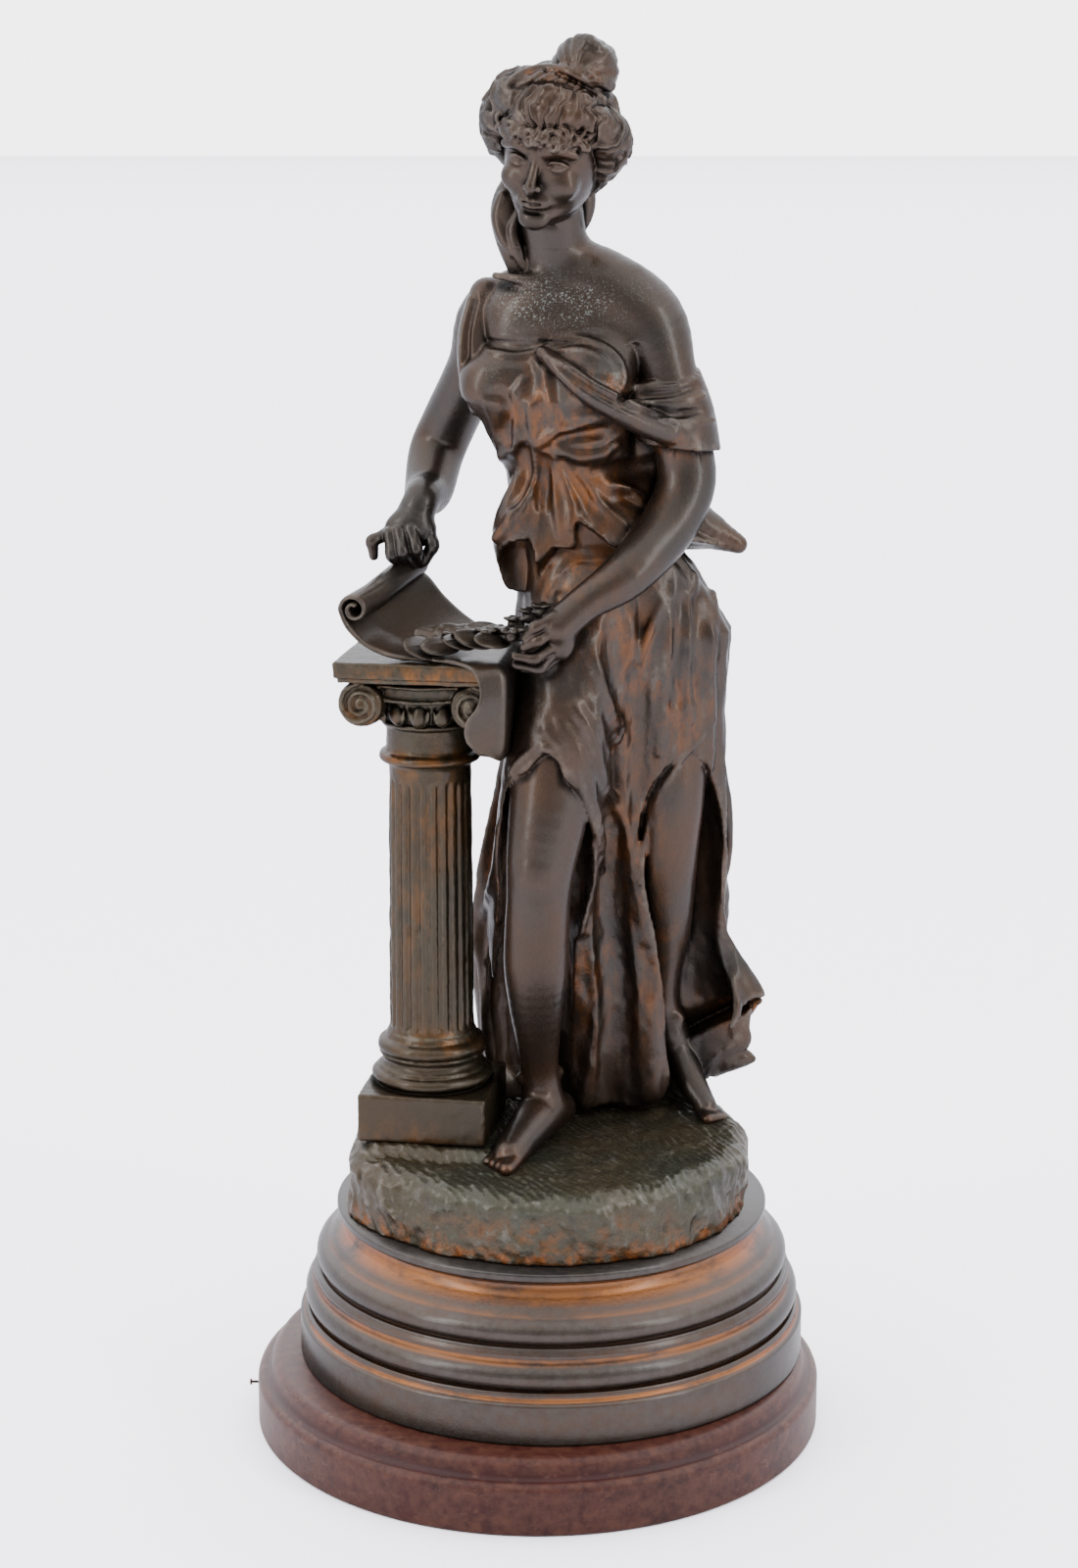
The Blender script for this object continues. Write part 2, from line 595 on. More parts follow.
underskirt = block([50, 5, 0], [100, 66, 64], underskirtDistance, 1.2)
frontLeg = tube([(12, -6, 226), (5, -18, 190), (-1, -29, 152), (-4.4, -33.5, 130), (-5.6, -32.5, 114),
                 (-6.3, -27.5, 96),
                 (-6.6, -22.5, 79), (-6.6, -17, 60), (-5.8, -11, 41), (-5, -7.5, 27), (-3.5, -6.5, 12)],
                [22, 21, 17.2, 14.8, 13.6, 13.9, 13.9, 11.7, 9.2, 8.2, 9.4], 4, 4)
kneecap = egg((-6, -43.5, 124), (6.5, 4, 8), None, 5)
anklePlaces = ((-13, -8, 24), (3, -4, 26), (45, 32, 41), (57.5, 30, 40))
ankles = [egg(place, (2.6, 2.6, 2.6), None, 3) for place in anklePlaces]
rearLeg = tube([(52, 14, 190), (52, 10, 172), (51, 8, 150), (50, 9, 128), (49.6, 17, 104), (49.9, 26, 80),
                (49.6, 31, 62), (50.6, 34, 46),
                (54, 33, 32)], [12, 15, 15.5, 14.3, 13.6, 11.9, 9, 7.2, 7.6], 4, 5)
slitRooms = [
    tube([(-1, -47, 177), (-2, -40, 166), (-3, -33, 150), (-3.5, -29, 130), (-3, -24, 112), (-6, -17, 93),
          (-9, -8, 72), (-9, 0, 48),
          (-9, 6, 24), (-8, 8, 2)], [3, 9, 18.5, 21, 22, 20, 19.5, 19.5, 19, 18], 1.2, 4, -1),
    tube([(-19, 8, 96), (-19, 13, 76), (-18, 17, 50), (-17, 18, 20)], [6, 8, 9, 8], 2.5, 4, -1),
    tube([(64.5, -10, 174), (60.5, -9, 165), (56, -6, 152), (54.5, 0, 138), (54.5, 4, 124), (55.5, 7, 108),
          (57, 11, 92), (59, 15, 75),
          (61, 18, 58), (62, 19, 42), (63, 20, 26), (64, 22, 6)],
         [2.5, 6.5, 13, 16.5, 17, 16.5, 15, 15, 14.5, 14, 13, 12], 1.2, 4, -1),
    tube([(65.5, -5, 164), (63.5, 1, 152), (61, 6, 138), (59.8, 9, 124), (59, 11, 108), (59.5, 14, 92),
          (61, 16.5, 76), (63, 19, 60),
          (65, 22, 46), (66, 24, 34)], [3, 8.5, 13.5, 16.8, 16.8, 15.5, 15.5, 16, 16.5, 14], 1.2, 4, -1),
]
slitEdges = [
    [(-3, 181, 1.4, .8), (-11, 177, 1.5, 1), (-17, 168, 1.6, 1)],
    [(-3, 181, 1.4, .8), (5, 175, 1.6, 1.2), (11, 164, 1.8, 1.4), (15.5, 150, 1.8, 1.4),
     (20.5, 131, 1.8, 1.4), (21.5, 116, 1.7, 1.2)],
    [(65, 178, 1.4, .8), (55, 167, 1.6, 1.2), (47, 153, 1.6, 1.2), (42, 138, 1.6, 1.2),
     (39.5, 124, 1.6, 1.2), (39, 112, 1.6, 1)],
]

flapRim = tube([(71.5, 22, 166), (74.2, 25, 152), (76.4, 26, 140), (77.2, 27, 121), (75.2, 28, 105),
                (72.3, 29, 91)],
               [1.6, 2.6, 3.2, 3.2, 2.8, 2], 3.2, 4)
liftedHem = tube([(94, 34, 46.5), (86, 37, 41), (76, 39, 35), (66, 40, 30)], [1.6, 1.7, 1.7, 1.5], 1, 4)
hemUnderside = tube([(89.5, 37.5, 44.5), (84, 39, 38), (74, 40, 30)], [4.2, 4.4, 3.4], 1.5, 4)
hemTip = tube([(74, 38, 17), (84, 36, 19.5), (91, 34.5, 19)], [7.5, 5.5, 1.8], 2.5, 4)
heelFold = egg((53, 47, 7), (12, 4.5, 12), None, 3)

bodiceLevels = [
    [240, 22, 3, 24, 16], [262, 14, 1, 29.5, 20.5], [276, 8, 0, 26, 19], [290, 7, -1, 27, 19],
    [306, 3, -3, 31, 22],
    [322, 1, -5, 35, 24], [335, 3, -4, 36, 23], [348, 6, -1, 37, 18], [358, 8, 2, 36, 14.5],
    [366, 7, 2, 29, 13],
    [376, 3, 1, 16, 11.5],
]
chestTurn = math.radians(-18)


def bodiceRadius(angle, z, ellipse):
    breasts = sum(bump(turnFrom(angle, math.radians(at)), 0.62) for at in (-146, -40))
    behind = bump(turnFrom(angle, math.radians(90)), 1.8)
    pleats = 1.3 * np.cos(angle * 12 + z * 0.05 + np.sin(z * 0.07)) * (1 - smooth(z, 322, 348)) * behind
    return ellipse + 10 * breasts * bump(z - 330, 23) + pleats


bodice = star(bodiceLevels, bodiceRadius, [-45, -45, 240], [62, 40, 377], 1.0, 0.9, chestTurn)


def overfoldDistance(x, y, z):
    share = np.clip((284 - z) / 24, 0, 1.1)
    cx, cy = mix(8, 26, share), mix(0, 2, share)
    u, v = x - cx, y - cy
    angle = np.arctan2(v, u)
    openFold = bump(turnFrom(angle, math.radians(196)), 0.5)
    tip = bump(turnFrom(angle, math.radians(14)), 0.5)
    frontRise = bump(turnFrom(angle, math.radians(-104)), 0.35)
    behind = bump(turnFrom(angle, math.radians(80)), 1.7)
    wave = (np.cos(angle * 7) * 1.2 + 1.8 * np.cos(angle * 13 + 1) * behind) * share
    a = mix(25, 43, share) + wave + tip * 4 * share + openFold * 3 * share
    b = mix(18.5, 29, share) + wave
    radius = a * b / np.sqrt((b * np.cos(angle)) ** 2 + (a * np.sin(angle)) ** 2)
    hem = 262 - 19 * openFold + 9 * frontRise - 8 * tip + np.sin(angle * 9) * 1.5
    return np.maximum((np.hypot(u, v) - radius) * 0.75, np.maximum(hem - z, z - 284))


overfold = block([-30, -35, 238], [86, 36, 285], overfoldDistance, 1.6)
overfoldTip = tube([(56, 3, 272), (68, 3.5, 264), (79, 3.5, 258.5)], [9, 7, 4], 2.5, 4)
openFoldRoom = tube([(-13.9, -17, 230), (-14, -15.5, 244), (-13.8, -14, 256), (-12, -14, 267)],
                    [9.4, 9.2, 7.6, 2.4],
                    1, 4, -1)
bodiceRidges = [
    # gathers from the knot between her breasts down to the waist and over the overfold
    [(-7, 301, 2.2, 1.6), (-7.5, 289, 2.4, 2), (-12, 281, 2.6, 2.4), (-18, 271, 2.6, 2.6),
     (-23, 264, 2.4, 2)],
    [(-3, 301, 1.8, 1.4), (1, 287, 2, 1.8), (3, 276, 2, 1.8), (4, 267, 1.8, 1.2)],
    [(1, 301, 1.8, 1.4), (5.5, 288, 2, 2), (8, 278, 2.2, 2.2), (8, 270, 1.8, 1.4)],
    [(11, 291, 1.8, 1), (17, 283, 2, 1.6), (23, 276, 2, 1.4), (30, 270, 1.8, .6)],
    [(18, 297, 1.8, .8), (28, 288, 2.2, 1.8), (38, 278, 2.2, 1.6), (46, 270, 1.8, .6)],
    [(-9, 332, 1.6, 1), (-14, 327, 2, 1.8), (-17, 321, 2.2, 2.2), (-16.5, 313, 2.4, 2.4),
     (-13.5, 307, 2.4, 2.4),
     (-17, 300, 2.2, 2), (-24, 295, 2, 1.2)],
    [(-7, 337, 1.4, .6), (-8, 326, 1.8, 1.6), (-8.5, 316, 2, 2), (-7, 306, 2, 1.8)],
    [(-6, 304, 2.2, 1.8), (-1, 308, 2.6, 2.4), (5, 311, 2.6, 2.4), (11, 313.5, 2.4, 2), (16, 315, 2, 1)],
    [(-3, 332, 1.4, .6), (0, 322, 1.8, 1.4), (2, 314, 1.8, 1.2)],
    [(2, 304, 1.8, 1), (6, 301, 2.6, 2.4), (12, 299.5, 3, 3), (20, 300.5, 3, 2.8), (26, 304, 2.2, 1.2)],
    [(8, 306, 1.4, .8), (14, 306, 1.6, 1.4), (20, 306, 1.4, .8)],
    [(-27, 322, 1.6, .8), (-24, 312, 1.8, 1.4), (-22, 303, 1.8, 1.4), (-21, 296, 1.6, .8)],
]
bodiceValleys = [
    [(-9.5, 336, 2.8, 1), (-9, 331, 3.9, 2.2), (-9.5, 325, 3.2, 1.2)],
    [(-26, 324.5, 2.8, 0.6), (-21, 324, 3.5, 1.5), (-18.5, 318, 3.5, 1.5), (-20, 310, 3.5, 1.4),
     (-19, 304, 2.8, 0.6)],
    [(-3.5, 297, 2.5, 0.8), (-3.5, 288, 3, 1.2), (-4, 278, 3, 1)],
    [(4, 296, 2.5, 0.6), (11, 286, 3, 1), (16, 276, 3.2, 1), (20, 268, 2.8, 0.6)],
    [(20, 292, 3.9, 0.9), (32, 292, 5.9, 2), (42, 292, 5.9, 1.8)],
    [(-12, 300, 3.2, 0.9), (-12, 290, 3.9, 1.5), (-17, 281, 3.9, 1.2)],
    [(4, 306.5, 2.5, 0.6), (12, 308, 2.8, 1), (20, 309.5, 2.8, 0.8)],
]
necklines = [
    [(-30.5, 348, 1.6, 1.1), (-27.5, 342, 1.7, 1.3), (-21.5, 340.5, 1.8, 1.5), (-13, 340, 1.8, 1.6),
     (-3, 342.5, 1.9, 1.7)],
    [(-27, 354, 1.1, .6), (-25, 348, 1.2, .8), (-21.5, 345, 1.3, 1), (-13, 343.6, 1.4, 1.1),
     (-5, 344.3, 1.4, 1.2)],
    [(-2.5, 343, 1.8, 1.6), (4, 346, 1.6, 1.3), (13, 347, 1.6, 1.3), (21.5, 344, 1.7, 1.4),
     (27, 339, 1.8, 1.5), (29, 332, 1.8, 1.4),
     (26.5, 327, 1.7, 1)],
    [(-1, 342, 1.2, 1), (4, 342.5, 1.2, 1), (12, 343.5, 1.2, 1), (19.5, 341, 1.2, 1), (24, 336, 1.1, .7)],
]
rolledDrape = tube([(-4, -26, 342), (5, -34, 335.5), (15, -38, 327.5), (27, -38, 320.5), (40, -32.5, 313.5),
                    (53, -25, 308.5), (63, -17, 306.5)], [3, 4.4, 5.2, 5.8, 6, 5.4, 3.4], 3, 5)
shoulderDrape = tube([(-27, 4, 363), (-31, 0, 348), (-31.5, -3, 332), (-30, -2, 318)], [7.5, 8.2, 7.6, 5],
                     2.2, 4)
openFold = tube([(-9, -9, 284), (-14, -9, 266), (-13, -7, 248)], [9, 11, 8.5], 2.5, 4)
clothBehindArm = tube([(44, -1, 326), (40, 3, 305), (36, 4, 288), (36, 3, 272)], [9, 12, 12.5, 15], 5, 4)
sleeveTube = tube([(45, -11, 336), (48, -12, 326), (51, -12.5, 314), (53, -12.5, 300)],
                  [13.6, 15.2, 16.6, 17.2], 1.4, 4)
sleeveRoom = tube([(51, -12.5, 306), (53, -12.5, 298)], [13.5, 15.2], 1, 1)["distance"]


def sleeveDistance(x, y, z):  # open below, with a slanting lower edge, and higher where it leaves the arm
    whole = np.maximum(sleeveTube["distance"](x, y, z), 302.5 - .1 * (x - 53) - z)
    upper = z - (332 + .12 * (x - 45) + .25 * (y + 12))
    return np.maximum(np.maximum(whole, upper), -sleeveRoom(x, y, z))


sleeve = block([28, -34, 296], [75, 8, 342], sleeveDistance, 1.4)
drapeRidges = [
    [(-3, 341, 1, .5), (6, 337, 1.2, .8), (16, 330.5, 1.3, .9), (28, 324.5, 1.3, .9), (42, 317.5, 1.3, .8),
     (56, 312, 1.2, .6)],
    [(27, 326.5, 1.2, .8), (36, 328, 1.5, 1.2), (46, 330, 1.6, 1.3), (58, 333, 1.6, 1.2)],
    [(30, 324, 1, .5), (40, 322, 1.4, 1), (52, 322, 1.5, 1.1), (62, 324, 1.4, .8)],
    [(34, 321, 1, .4), (46, 316, 1.4, 1), (58, 313.5, 1.5, 1), (66, 314, 1.3, .6)],
    [(-34, 362, 1, .6), (-36.5, 350, 1.3, .9), (-37.5, 338, 1.3, .9), (-37, 326, 1.2, .7)],
    [(-30, 364, 1, .6), (-33, 352, 1.3, .9), (-33.5, 340, 1.2, .9), (-33, 328, 1.2, .6)],
]
drapeValleys = [
    [(0, 339, 1.5, 0.6), (10, 333, 1.8, 1), (22, 326, 1.9, 1.1), (36, 319, 1.9, 1.1), (50, 313, 1.8, 0.8)],
    [(28, 325, 1.7, 0.6), (38, 325, 1.9, 1.1), (50, 326, 1.9, 1), (60, 328.5, 1.7, 0.6)],
    [(38, 319.5, 1.7, 0.6), (50, 317.5, 1.9, 1), (62, 318.5, 1.7, 0.6)],
    [(-32, 362, 1.5, 0.6), (-35, 350, 1.8, 1), (-35.5, 338, 1.8, 1), (-35, 326, 1.5, 0.6)],
]
neck = tube([(-4, 5, 350), (0, 1, 368), (1, -4, 384), (-1, -10, 404)], [15, 14.6, 13.2, 13], 6, 5)
chest = egg((3, -5, 352), (31, 15.5, 22), None, 7)
collarbones = [tube([(x, -13, 371), (x * 3.4 + 1, -14, 371), (x * 6.4 + 2, -8, 372)], [1.6, 2, 1.4], 4, 3)
               for x in (-4, 5)]

columnPlace, columnTurn = vec(-52, -7, 0), math.radians(-9)
abacusWidth, columnTop = 69.0, 214.8


def onCapital(across, deep, up):
    u, v = across * abacusWidth / 2, deep * abacusWidth / 2
    return vec(columnPlace[0] + u * math.cos(columnTurn) - v * math.sin(columnTurn),
               columnPlace[1] + u * math.sin(columnTurn) + v * math.cos(columnTurn), columnTop + up)


sheetThickness, rollRadius = 2.2, 5.4
sheetLines = [  # the sheet's front edge, the line that bends round the capital's corner, and its back edge
    [(-.96, -.77, 21), (-.78, -.32, 24), (-.42, .6, 34)],
    [(-.86, -.79, 13.5), (-.64, -.34, 16), (-.14, .6, 29)],
    [(-.63, -.81, 6.5), (-.44, -.36, 8.5), (.1, .55, 20)],
    [(-.28, -.85, 2.3), (-.12, -.4, 3.2), (.4, .5, 11.5)],
    [(.2, -.88, 1.5), (.38, -.5, 1.9), (.72, .44, 5.5)],
    [(.56, -1.06, 1.5), (.86, -.84, 1.7), (.97, .3, 2.1)],
    [(.76, -1.16, -1.5), (1.08, -1.02, -1), (1.11, .16, -1)],
    [(.84, -1.2, -9), (1.12, -1.07, -9), (1.11, .06, -10)],
    [(.8, -1.23, -15.5), (1.12, -1.07, -17), (1.1, -.03, -18)],
    [(.67, -1.24, -22), (1.11, -1.04, -25), (1.08, -.12, -27)],
    [(.68, -1.22, -30), (1.08, -1, -34), (1.06, -.24, -37)],
    [(.84, -1.16, -35.5), (1.02, -.9, -39.5), (1.03, -.42, -41)],
]
sprayTip, sprayEnd = onCapital(.16, -.56, 5.4), onCapital(1.42, -.92, 12.5)
grip = mix(onCapital(*sheetLines[0][2]), onCapital(*sheetLines[0][0]), 0.16) + (5, -1, rollRadius + 6.5)
palm, wrist = grip + (3, 2, 8), grip + (7, 5, 18)
rightArm = tube([(-4, 3, 364), (-24, 11, 354), (-32, 26, 332), (-44, 44, 306), (-50, 45, 292),
                 mix(vec(-52, 34, 279), wrist, .25), wrist,
                 palm], [12, 14.5, 12.2, 12, 12, 10.5, 7.8, 8.6], 5, 5)
leftPalm, leftWrist = sprayEnd + (11, -1, 5), sprayEnd + (22, 3, 14)
leftArm = tube([(6, -1, 374), (21, -3, 367), (38, -6, 353), (46, -11, 334), (52, -13, 310), (56, -14, 288),
                mix(vec(51, -20, 272), leftWrist, .1), mix(vec(38, -34, 257), leftWrist, .3), leftWrist,
                leftPalm],
               [13.5, 15.5, 17, 13.5, 12.3, 12.3, 11.8, 10.3, 7.6, 7.6], 6, 5)


def finger(knuckle, bend, tip, radius):
    middle = mix(np.asarray(bend), np.asarray(tip), 0.45)
    return tube([knuckle, mix(np.asarray(knuckle), np.asarray(bend), .5), bend, middle, tip],
                [radius * 1.12, radius * .96, radius * 1.04, radius * .86, radius * .72], .7, 3)


rightHand = [  # from knuckle over the bent joint to the tip: little finger, ring, middle, index and thumb
    [(-70, 5, 262.5), (-76, 2.5, 260), (-75.5, 3.5, 253.5)],
    [(-68.5, 2.5, 263), (-67.5, -1.5, 254.5), (-62.8, 4.5, 249)],
    [(-64.5, 1.5, 264.5), (-62.8, -3, 256), (-59, 4, 249)],
    [(-59.5, 2, 265), (-57.2, -2, 257), (-55.8, 4.5, 250)],
    [(-52.5, 6, 265), (-50.6, 3, 258), (-54, 3.5, 251)]]
rightFingers = [finger(*[vec(*p) for p in points], 3.1 if i == 4 else 2.8) for i,
                points in enumerate(rightHand)]
rightPalm = egg((-60, 6.5, 264.5), (11, 6.4, 8.6), None, 2.5)
leftHand = [  # thumb, index, middle, ring and little finger
    [(1, -50, 236.5), (-6.8, -52, 233), (-11, -50, 228)],
    [(0, -50, 231), (-6, -52.5, 227.5), (-11.5, -50.5, 224.3)],
    [(-1, -48, 224), (-7.4, -51, 219.8), (-15.2, -50, 220.6)],
    [(-.5, -45.5, 220.5), (-5.2, -48, 215.2), (-15, -47, 216.4)],
    [(1.5, -41.5, 218.5), (-4, -43, 213.8), (-12, -43, 214)]]
leftFingers = [finger(*[vec(*p) for p in points], 2.6 if i < 4 else 2.2) for i,
               points in enumerate(leftHand)]
leftBack = egg((3.6, -45.5, 227), (6, 5, 9), None, 2.5)
frontFoot = tube([(3, 3, 6.5), (-5, -13, 8.5), (-13, -30, 4.5), (-18, -42, 2)], [8, 9.8, 8.6, 7], 4, 4)
frontToes = [tube([mix(vec(-12, -38, 2), vec(-24, -33, 1), i / 4),
                   mix(vec(-19, -55, -.5), vec(-31, -40, -1), i / 4 + .04 * i * (i - 4) / 4)],
                  [3.6 - .45 * i, 3.4 - .42 * i], 1.4, 3) for i in range(5)]
rearFoot = tube([(55, 36, 29), (59, 30, 20), (64, 22, 10.5), (69, 14, 4)], [7.4, 7, 6.4, 5], 4, 4)
rearToes = [tube([mix(vec(66.5, 14, 2.6), vec(73.5, 16, 2.2), i / 4),
                  mix(vec(69.5, 5, .6), vec(77.5, 9.5, .2), i / 4)],
                 [2.9 - .3 * i, 2.7 - .3 * i], 1.2, 3) for i in range(5)]

# Her head, on its own axes, in shares of its height: across is to her left, ahead is where she looks, and up
# is from chin to crown.
looks, headTilt = unit(vec(-.33, -.908, -.259)), vec(.174, 0, .985)
crownwards = unit(headTilt - looks * (looks @ headTilt))
sideways = -np.cross(looks, crownwards)
headAxes = np.array([sideways, looks, crownwards])
chin, headHeight = vec(-1.5, -11, 397), 58.0


def onHead(across, ahead, up):
    return chin + headHeight * (across * sideways + ahead * looks + up * crownwards)


def headEgg(place, half, blend=1.0, way=1, tilt=0.0):
    turn = np.array([[math.cos(tilt), 0, math.sin(tilt)], [0, 1, 0], [-math.sin(tilt), 0, math.cos(tilt)]])
    return egg(onHead(*place), np.array(half) * headHeight, turn @ headAxes, blend, way)


def headTube(places, radii, blend=1.0, steps=4, way=1):
    return tube([onHead(*p) for p in places], np.broadcast_to(np.array(radii) * headHeight, len(places)),
                blend, steps, way)


def bothSides(make, place, *rest, **settings):  # the same form on her right and on her left
    if isinstance(place, list):
        other = [(-across, *more) for across, *more in place]
    else:
        other = (-place[0], *place[1:])
    return [make(other, *rest, **settings), make(place, *rest, **settings)]


headLevels = np.array([
    [0, .1, .3, .02], [.04, .17, .37, .06], [.1, .23, .39, .14], [.16, .27, .37, .2], [.21, .29, .39, .26],
    [.29, .315, .385, .34],
    [.38, .33, .385, .4], [.47, .34, .39, .44], [.55, .34, .405, .46], [.66, .34, .4, .46],
    [.78, .32, .36, .42], [.9, .24, .24, .32],
    [.98, .11, .1, .16]])


def skullDistance(x, y, z):
    q = (np.stack([x, y, z], 1) - chin) @ headAxes.T / headHeight
    width, ahead, behind = (np.interp(q[:, 2], headLevels[:, 0], headLevels[:, i]) for i in (1, 2, 3))
    depth = np.where(q[:, 1] > 0, ahead, behind)
    across, along = q[:, 0] / width, q[:, 1] / depth
    reach = np.sqrt(across ** 2 + along ** 2)
    side = (reach - 1) * np.minimum(width, depth)
    return np.maximum(side * .9, np.maximum(-q[:, 2], q[:, 2] - .98)) * headHeight


skull = block(onHead(0, 0, .5) - 34, onHead(0, 0, .5) + 34, skullDistance, 3)
faceForms = [
    *bothSides(headEgg, (.17, .27, .33), (.11, .1, .1), 2.9),
    headEgg((0, .345, .07), (.1, .065, .07), 2.6),
    *bothSides(headEgg, (.145, .4, .49), (.082, .062, .056), 1.6, way=-1),
    *bothSides(headTube, [(.25, .31, .57), (.16, .375, .6), (.07, .385, .585)], .035, 2.2),
    *bothSides(headEgg, (.142, .325, .49), (.062, .05, .05), .6),
    *bothSides(headTube, [(.075, .362, .48), (.11, .378, .512), (.15, .376, .52), (.185, .358, .51),
                          (.215, .325, .485)], .0135, .5),
    *bothSides(headTube, [(.078, .358, .474), (.115, .364, .455), (.155, .36, .453), (.19, .345, .465),
                          (.212, .322, .482)], .0115, .5),
    headTube([(0, .37, .56), (0, .39, .5), (0, .435, .4), (0, .47, .345), (0, .465, .315)],
             [.032, .027, .031, .038, .03], 1.6),
    *bothSides(headEgg, (.042, .425, .325), (.026, .035, .026), 1.2),
    *bothSides(headEgg, (.026, .445, .302), (.013, .02, .011), .5, way=-1),
    headTube([(0, .395, .295), (0, .402, .262)], .009, .8, way=-1),
    headEgg((0, .365, .21), (.11, .04, .06), 2.4),
    headTube([(-.085, .365, .212), (-.035, .402, .228), (0, .402, .222), (.035, .402, .228),
              (.085, .365, .212)],
             [.008, .015, .014, .015, .008], .8),
    headTube([(-.075, .368, .2), (-.03, .396, .186), (.03, .396, .186), (.075, .368, .2)],
             [.008, .018, .018, .008], .8),
    headTube([(-.09, .372, .207), (-.04, .408, .208), (0, .412, .204), (.04, .408, .208),
              (.09, .372, .207)],
             [.006, .007, .006, .007, .006], .5, way=-1),
    headTube([(-.045, .385, .145), (0, .392, .142), (.045, .385, .145)], .014, 1.6, way=-1),
    *bothSides(headTube, [(.335, -.02, .33), (.35, -.05, .42), (.345, -.02, .49), (.335, .02, .46)],
               [.03, .03, .028, .02], 1),
]

hairForms = [
    headEgg((0, -.09, .68), (.415, .38, .38), 2),
    headEgg((-.01, .06, .8), (.36, .35, .265), 1.4),
    headEgg((-.2, .08, .85), (.25, .24, .19), 1.4),
    headTube([(-.31, .17, .64), (-.2, .33, .67), (0, .39, .685), (.2, .33, .67), (.31, .17, .64)],
             [.06, .058, .06, .058, .06], 1.2),
    headTube([(.22, .24, .82), (.31, .14, .78), (.385, .03, .66), (.385, -.05, .52), (.31, -.1, .36),
              (.24, -.1, .22)],
             [.08, .12, .16, .15, .11, .07], 1.4),
    headTube([(-.2, .24, .84), (-.3, .12, .8), (-.36, .05, .7), (-.4, 0, .56), (-.39, -.04, .44),
              (-.33, -.08, .34)],
             [.07, .12, .175, .15, .115, .08], 1.4),
    headEgg((.14, -.12, 1.05), (.235, .23, .215), 1.2),
    headTube([(-.04, -.08, 1.0), (.02, .04, 1.04), (.14, .09, 1.07), (.27, .03, 1.04), (.33, -.08, .97)],
             [.05, .06, .065, .06, .05], 1),
    headTube([(.0, -.2, 1.12), (.1, -.08, 1.22), (.22, -.06, 1.2), (.32, -.12, 1.08)], [.05, .07, .07, .05],
             1),
]
curls, curlCount = [], 30
for index in range(curlCount):  # small curls of the fringe, in two uneven rows over her forehead
    row, step = index % 2, index // 2
    across = mix(-.31, .31, step / (curlCount / 2 - 1)) + .01 * math.sin(index * 2.7)
    ahead = .43 - 1.75 * across * across - .012 * row + .008 * math.sin(index * 4.1)
    up = .645 + .075 * row + .016 * math.sin(index * 3.3)
    size, start = .03 + .009 * math.sin(index * 1.7), index * 2.4
    places = [(across + size * math.cos(start + t), ahead + .012 * math.sin(t),
               up + size * .85 * math.sin(start + t))
              for t in np.linspace(0, 4.4, 8)]
    curls.append(headTube(places, np.linspace(.024, .012, 8), .35, 2))
napeLocks = [
    tube([(-12, 2, 412), (-17, 0, 404), (-18.5, -1, 396), (-17, -2, 386), (-14.5, -3, 377), (-13, -5, 370)],
         [6, 6.6, 7, 6.2, 5, 3.4], 1.2, 4),
    tube([(-20, -5, 404), (-22, -4, 396), (-20, -6, 388), (-16, -8, 381)], [2.4, 3, 3, 2], .8, 4),
    tube([(-13, -6, 398), (-16, -8, 390), (-14, -9, 382), (-12, -9, 375)], [2.2, 2.6, 2.6, 1.6], .8, 4),
    tube([(11, 2, 412), (13.5, 2, 402), (13, 2, 395), (11, 1, 389)], [6, 4.6, 3.6, 2], 1.2, 4),
]
bunCentre = onHead(.14, -.12, 1.05)
bunAxis = unit(bunCentre - onHead(0, 0, .45))


def combed(x, y, z):  # combed strands: grooves that run from the hairline back to the knot of hair
    p = np.stack([x, y, z], 1)
    q = p - onHead(.07, -.05, .8)
    ahead = unit(looks - bunAxis * (looks @ bunAxis))
    partings = np.arctan2(q @ np.cross(bunAxis, ahead), q @ ahead)
    waver = noiseField(x, y, z, 9.0, 3) * .25 + noiseField(x, y, z, 4.0, 5) * .12
    combing = np.sin((partings + waver) * 38) * .36 + np.sin((partings + waver * 1.6) * 15 + 1) * .4
    b = p - bunCentre
    away = np.sqrt((b * b).sum(1))
    coil = np.arctan2(b @ np.cross(looks, crownwards), b @ crownwards) * 7 + away * .35 + waver * 4
    onBun = smooth(-(away - 15.5), -2.5, 1.5)
    return mix(combing, np.sin(coil) * .32 + np.sin(coil * 2.3 + 1) * .2, onBun)


def hairDistance(x, y, z):
    d = layerDistance(hairForms, x, y, z)
    near = np.nonzero(np.abs(d) < 4)[0]
    d[near] += combed(x[near], y[near], z[near])
    return d


hair = block([-40, -50, 395], [46, 36, 480], hairDistance, .8)
crownWave = laid([hair], [[(-19, 447, 1.5, .8), (-15, 451, 1.8, 1.2), (-9, 454, 1.9, 1.4),
                           (-1, 455, 1.9, 1.4), (7, 453.5, 1.9, 1.4),
                           (14, 449.5, 1.8, 1.2), (20, 443, 1.6, .8)]], .8)
crownWave += laid([hair], [[(-14, 447.5, 1, .4), (-7, 449.5, 1.2, .9), (1, 449.5, 1.2, .9),
                            (8, 447.5, 1, .4)]], .6, -1)

